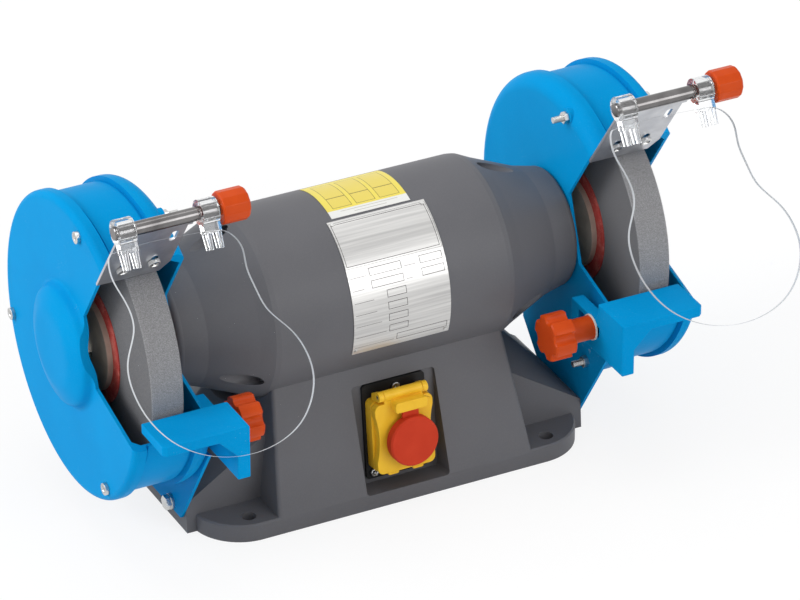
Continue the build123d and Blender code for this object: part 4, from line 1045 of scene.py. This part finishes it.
@dataclass
class Fastenings:
    """Screws and bolts that show, and the card washers."""

    edge: float = 0.4
    edge_turn: float = 28.0
    crown_depth: float = 0.01
    plain: tuple[str, ...] = ("guard_mount_screws", "cover_hinge_pin")
    plate_cross: DriveRecess = DriveRecess(Recess.CROSS, 4.2, 0.9, 1.1)
    arrestor_cross: DriveRecess = DriveRecess(Recess.CROSS, 5.4, 1.1, 1.4)
    cover_socket: DriveRecess = DriveRecess(Recess.HEXAGON, 4.6, 0.0, 1.6)
    switch_lean: float = 6.2
    arrestor_lean: float = 35.0

    def dress(self, bench: Bench, palette: Palette) -> None:
        """Gives the fastenings and the card washers their finish."""
        bench.dress(self.plain, palette.zinc)
        bench.soften(("lug_bolts", "rest_bolts"), palette.zinc, self.edge)
        bench.dress(("paper_blotters",), palette.card)
        lean = math.radians(self.switch_lean)
        outward = Vector((0.0, -math.cos(lean), math.sin(lean)))
        self._headed(bench, "switch_plate_screws", palette.zinc, self.plate_cross, outward)
        lean = math.radians(self.arrestor_lean)
        outward = Vector((0.0, -math.cos(lean), -math.sin(lean)))
        self._headed(bench, "arrestor_screws", palette.zinc, self.arrestor_cross, outward)
        along = Vector((1.0, 0.0, 0.0))
        self._headed(bench, "cover_bolts", palette.threaded, self.cover_socket, along, mirrored=True)

    def _headed(
        self,
        bench: Bench,
        node: str,
        material: bpy.types.Material,
        recess: DriveRecess,
        outward: Vector,
        mirrored: bool = False,
    ) -> None:
        """Replaces a group of screws by copies with rounded heads and a drive recess in each.

        Args:
            bench: The frame.
            node: Name of the group.
            material: Its finish.
            recess: What is cut into each head.
            outward: Direction out of the heads.
            mirrored: Whether the screws at the left end point the other way along the shaft.
        """
        bm = bench.merged(node)
        cutters = bmesh.new()
        for shell in shells(bm):
            way = outward.copy()
            if mirrored and shell[0].co.x < 0:
                way.x = -way.x
            top = max(vert.co.dot(way) for vert in shell)
            rim = [vert.co for vert in shell if top - vert.co.dot(way) < self.crown_depth * MM]
            recess.cutter(cutters, sum(rim, Vector()) / len(rim), way)
        round_edges(bm, self.edge, 2, self.edge_turn)
        piece = bench.stand_in(bm, node, material)
        cutter = shown(cutters, f"{node}_cutter", material)
        cut = piece.modifiers.new("recess", "BOOLEAN")
        cut.operation = "DIFFERENCE"
        cut.solver = "EXACT"
        cut.use_self = True
        cut.object = cutter
        graph = bpy.context.evaluated_depsgraph_get()
        piece.data = bpy.data.meshes.new_from_object(piece.evaluated_get(graph))
        piece.modifiers.clear()
        bpy.data.objects.remove(cutter)


@dataclass
class SwitchBox:
    """Switch with its hinged cover, paddle and two buttons."""

    plate_round: float = 0.4
    moulding_round: float = 0.8
    paddle_round: float = 0.9
    button_round: float = 0.6

    def dress(self, bench: Bench, palette: Palette) -> None:
        """Gives each node of the switch its finish."""
        bench.soften(("switch_plate",), palette.black, self.plate_round)
        bench.soften(("switch_body", "switch_cover"), palette.yellow, self.moulding_round, 3)
        bench.soften(("stop_paddle",), palette.red, self.paddle_round, 3)
        bench.soften(("stop_button",), palette.red, self.button_round)
        bench.soften(("start_button",), palette.green, self.button_round)


@dataclass
class Studio:
    """Floor, lights and camera. The camera stands where the photograph was taken from."""

    azimuth: float = -27.0
    elevation: float = 30.3
    distance: float = 4000.0
    focal_pixels: float = 5417.7
    image_width: int = 800
    sensor: float = 36.0
    target: tuple[float, float, float] = (37.9, 0.0, 115.2)
    floor_half: float = 6000.0
    ambient: float = 0.6
    floor_white: float = 0.82
    lamps: tuple[tuple[str, tuple[float, float, float], float, float], ...] = (
        ("key", (-4300.0, 1000.0, 2600.0), 2600.0, 132.0),
        ("fill", (1000.0, -2300.0, 1200.0), 1400.0, 17.0),
        ("top", (-200.0, 300.0, 2400.0), 1600.0, 14.0),
    )
    aim: tuple[float, float, float] = (0.0, 0.0, 130.0)

    def build(self) -> None:
        """Sets the stage."""
        self._world()
        self._floor()
        for name, place, size, power in self.lamps:
            self._lamp(name, Vector(place) * MM, size * MM, power)
        self._camera()
        bpy.context.scene.view_settings.view_transform = "Standard"

    def _world(self) -> None:
        """A white surround for the camera and for reflections, dimmer as a light."""
        world = bpy.data.worlds.new("studio")
        bpy.context.scene.world = world
        world.use_nodes = True
        nodes = world.node_tree.nodes
        links = world.node_tree.links
        background = nodes["Background"]
        background.inputs["Color"].default_value = (1.0, 1.0, 1.0, 1.0)
        path = nodes.new("ShaderNodeLightPath")
        seen = nodes.new("ShaderNodeMath")
        seen.operation = "MAXIMUM"
        clear = nodes.new("ShaderNodeMath")
        clear.operation = "MAXIMUM"
        links.new(path.outputs["Is Camera Ray"], seen.inputs[0])
        links.new(path.outputs["Is Glossy Ray"], seen.inputs[1])
        links.new(seen.outputs[0], clear.inputs[0])
        links.new(path.outputs["Is Transmission Ray"], clear.inputs[1])
        level = nodes.new("ShaderNodeMapRange")
        level.inputs["To Min"].default_value = self.ambient
        level.inputs["To Max"].default_value = 1.0
        links.new(clear.outputs[0], level.inputs["Value"])
        links.new(level.outputs[0], background.inputs["Strength"])

    def _floor(self) -> None:
        """A pale floor that the camera sees as nearly white, with a faint shadow on it."""
        sheet = ShaderSheet("studio_floor")
        haze = sheet.noise(3.0, 2.0)
        pale = sheet.blend(haze, (0.93, 0.93, 0.93, 1.0), (0.95, 0.95, 0.95, 1.0))
        lit = sheet.node("ShaderNodeBsdfDiffuse", inputs={"Color": pale, "Roughness": 0.9})
        white = sheet.node("ShaderNodeEmission", inputs={"Color": (1.0, 1.0, 1.0, 1.0), "Strength": 1.0})
        path = sheet.node("ShaderNodeLightPath", output="Is Camera Ray")
        for ray in ("Is Glossy Ray", "Is Transmission Ray"):
            path = path.either(sheet.node("ShaderNodeLightPath", output=ray))
        share = path * self.floor_white
        material = sheet.close(sheet.node("ShaderNodeMixShader", inputs={0: share, 1: lit, 2: white}))
        bm = bmesh.new()
        bmesh.ops.create_grid(bm, x_segments=2, y_segments=2, size=self.floor_half * MM)
        shown(bm, "studio_floor", material)

    def _lamp(self, name: str, place: Vector, size: float, power: float) -> None:
        """Hangs a soft lamp that faces the grinder.

        Args:
            name: Name of the lamp.
            place: Where it hangs, in metres.
            size: Side of its square face, in metres.
            power: Watts.
        """
        light = bpy.data.lights.new(name, "AREA")
        light.size = size
        light.energy = power
        lamp = bpy.data.objects.new(name, light)
        lamp.location = place
        lamp.rotation_mode = "QUATERNION"
        lamp.rotation_quaternion = (Vector(self.aim) * MM - place).to_track_quat("-Z", "Y")
        bpy.context.scene.collection.objects.link(lamp)

    def _camera(self) -> None:
        """Sets the camera where the photograph was taken from."""
        turn, rise = math.radians(self.azimuth), math.radians(self.elevation)
        back = Vector(
            (math.sin(turn) * math.cos(rise), -math.cos(turn) * math.cos(rise), math.sin(rise))
        )
        lens = bpy.data.cameras.new("camera")
        lens.sensor_width = self.sensor
        lens.lens = self.sensor * self.focal_pixels / self.image_width
        lens.dof.use_dof = False
        camera = bpy.data.objects.new("camera", lens)
        camera.location = (Vector(self.target) + back * self.distance) * MM
        camera.rotation_mode = "QUATERNION"
        camera.rotation_quaternion = (-back).to_track_quat("-Z", "Y")
        bpy.context.scene.collection.objects.link(camera)
        bpy.context.scene.camera = camera


def main() -> None:
    """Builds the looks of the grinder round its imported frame."""
    logging.basicConfig(level=logging.INFO, format="%(name)s %(message)s")
    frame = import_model()
    bench = Bench(frame)
    palette = Palette()
    MotorBody().dress(bench, palette)
    Fastenings().dress(bench, palette)
    for side in Side:
        WheelEnd(side).dress(bench, palette)
    SwitchBox().dress(bench, palette)
    Studio().build()


if __name__ == "__main__":
    main()
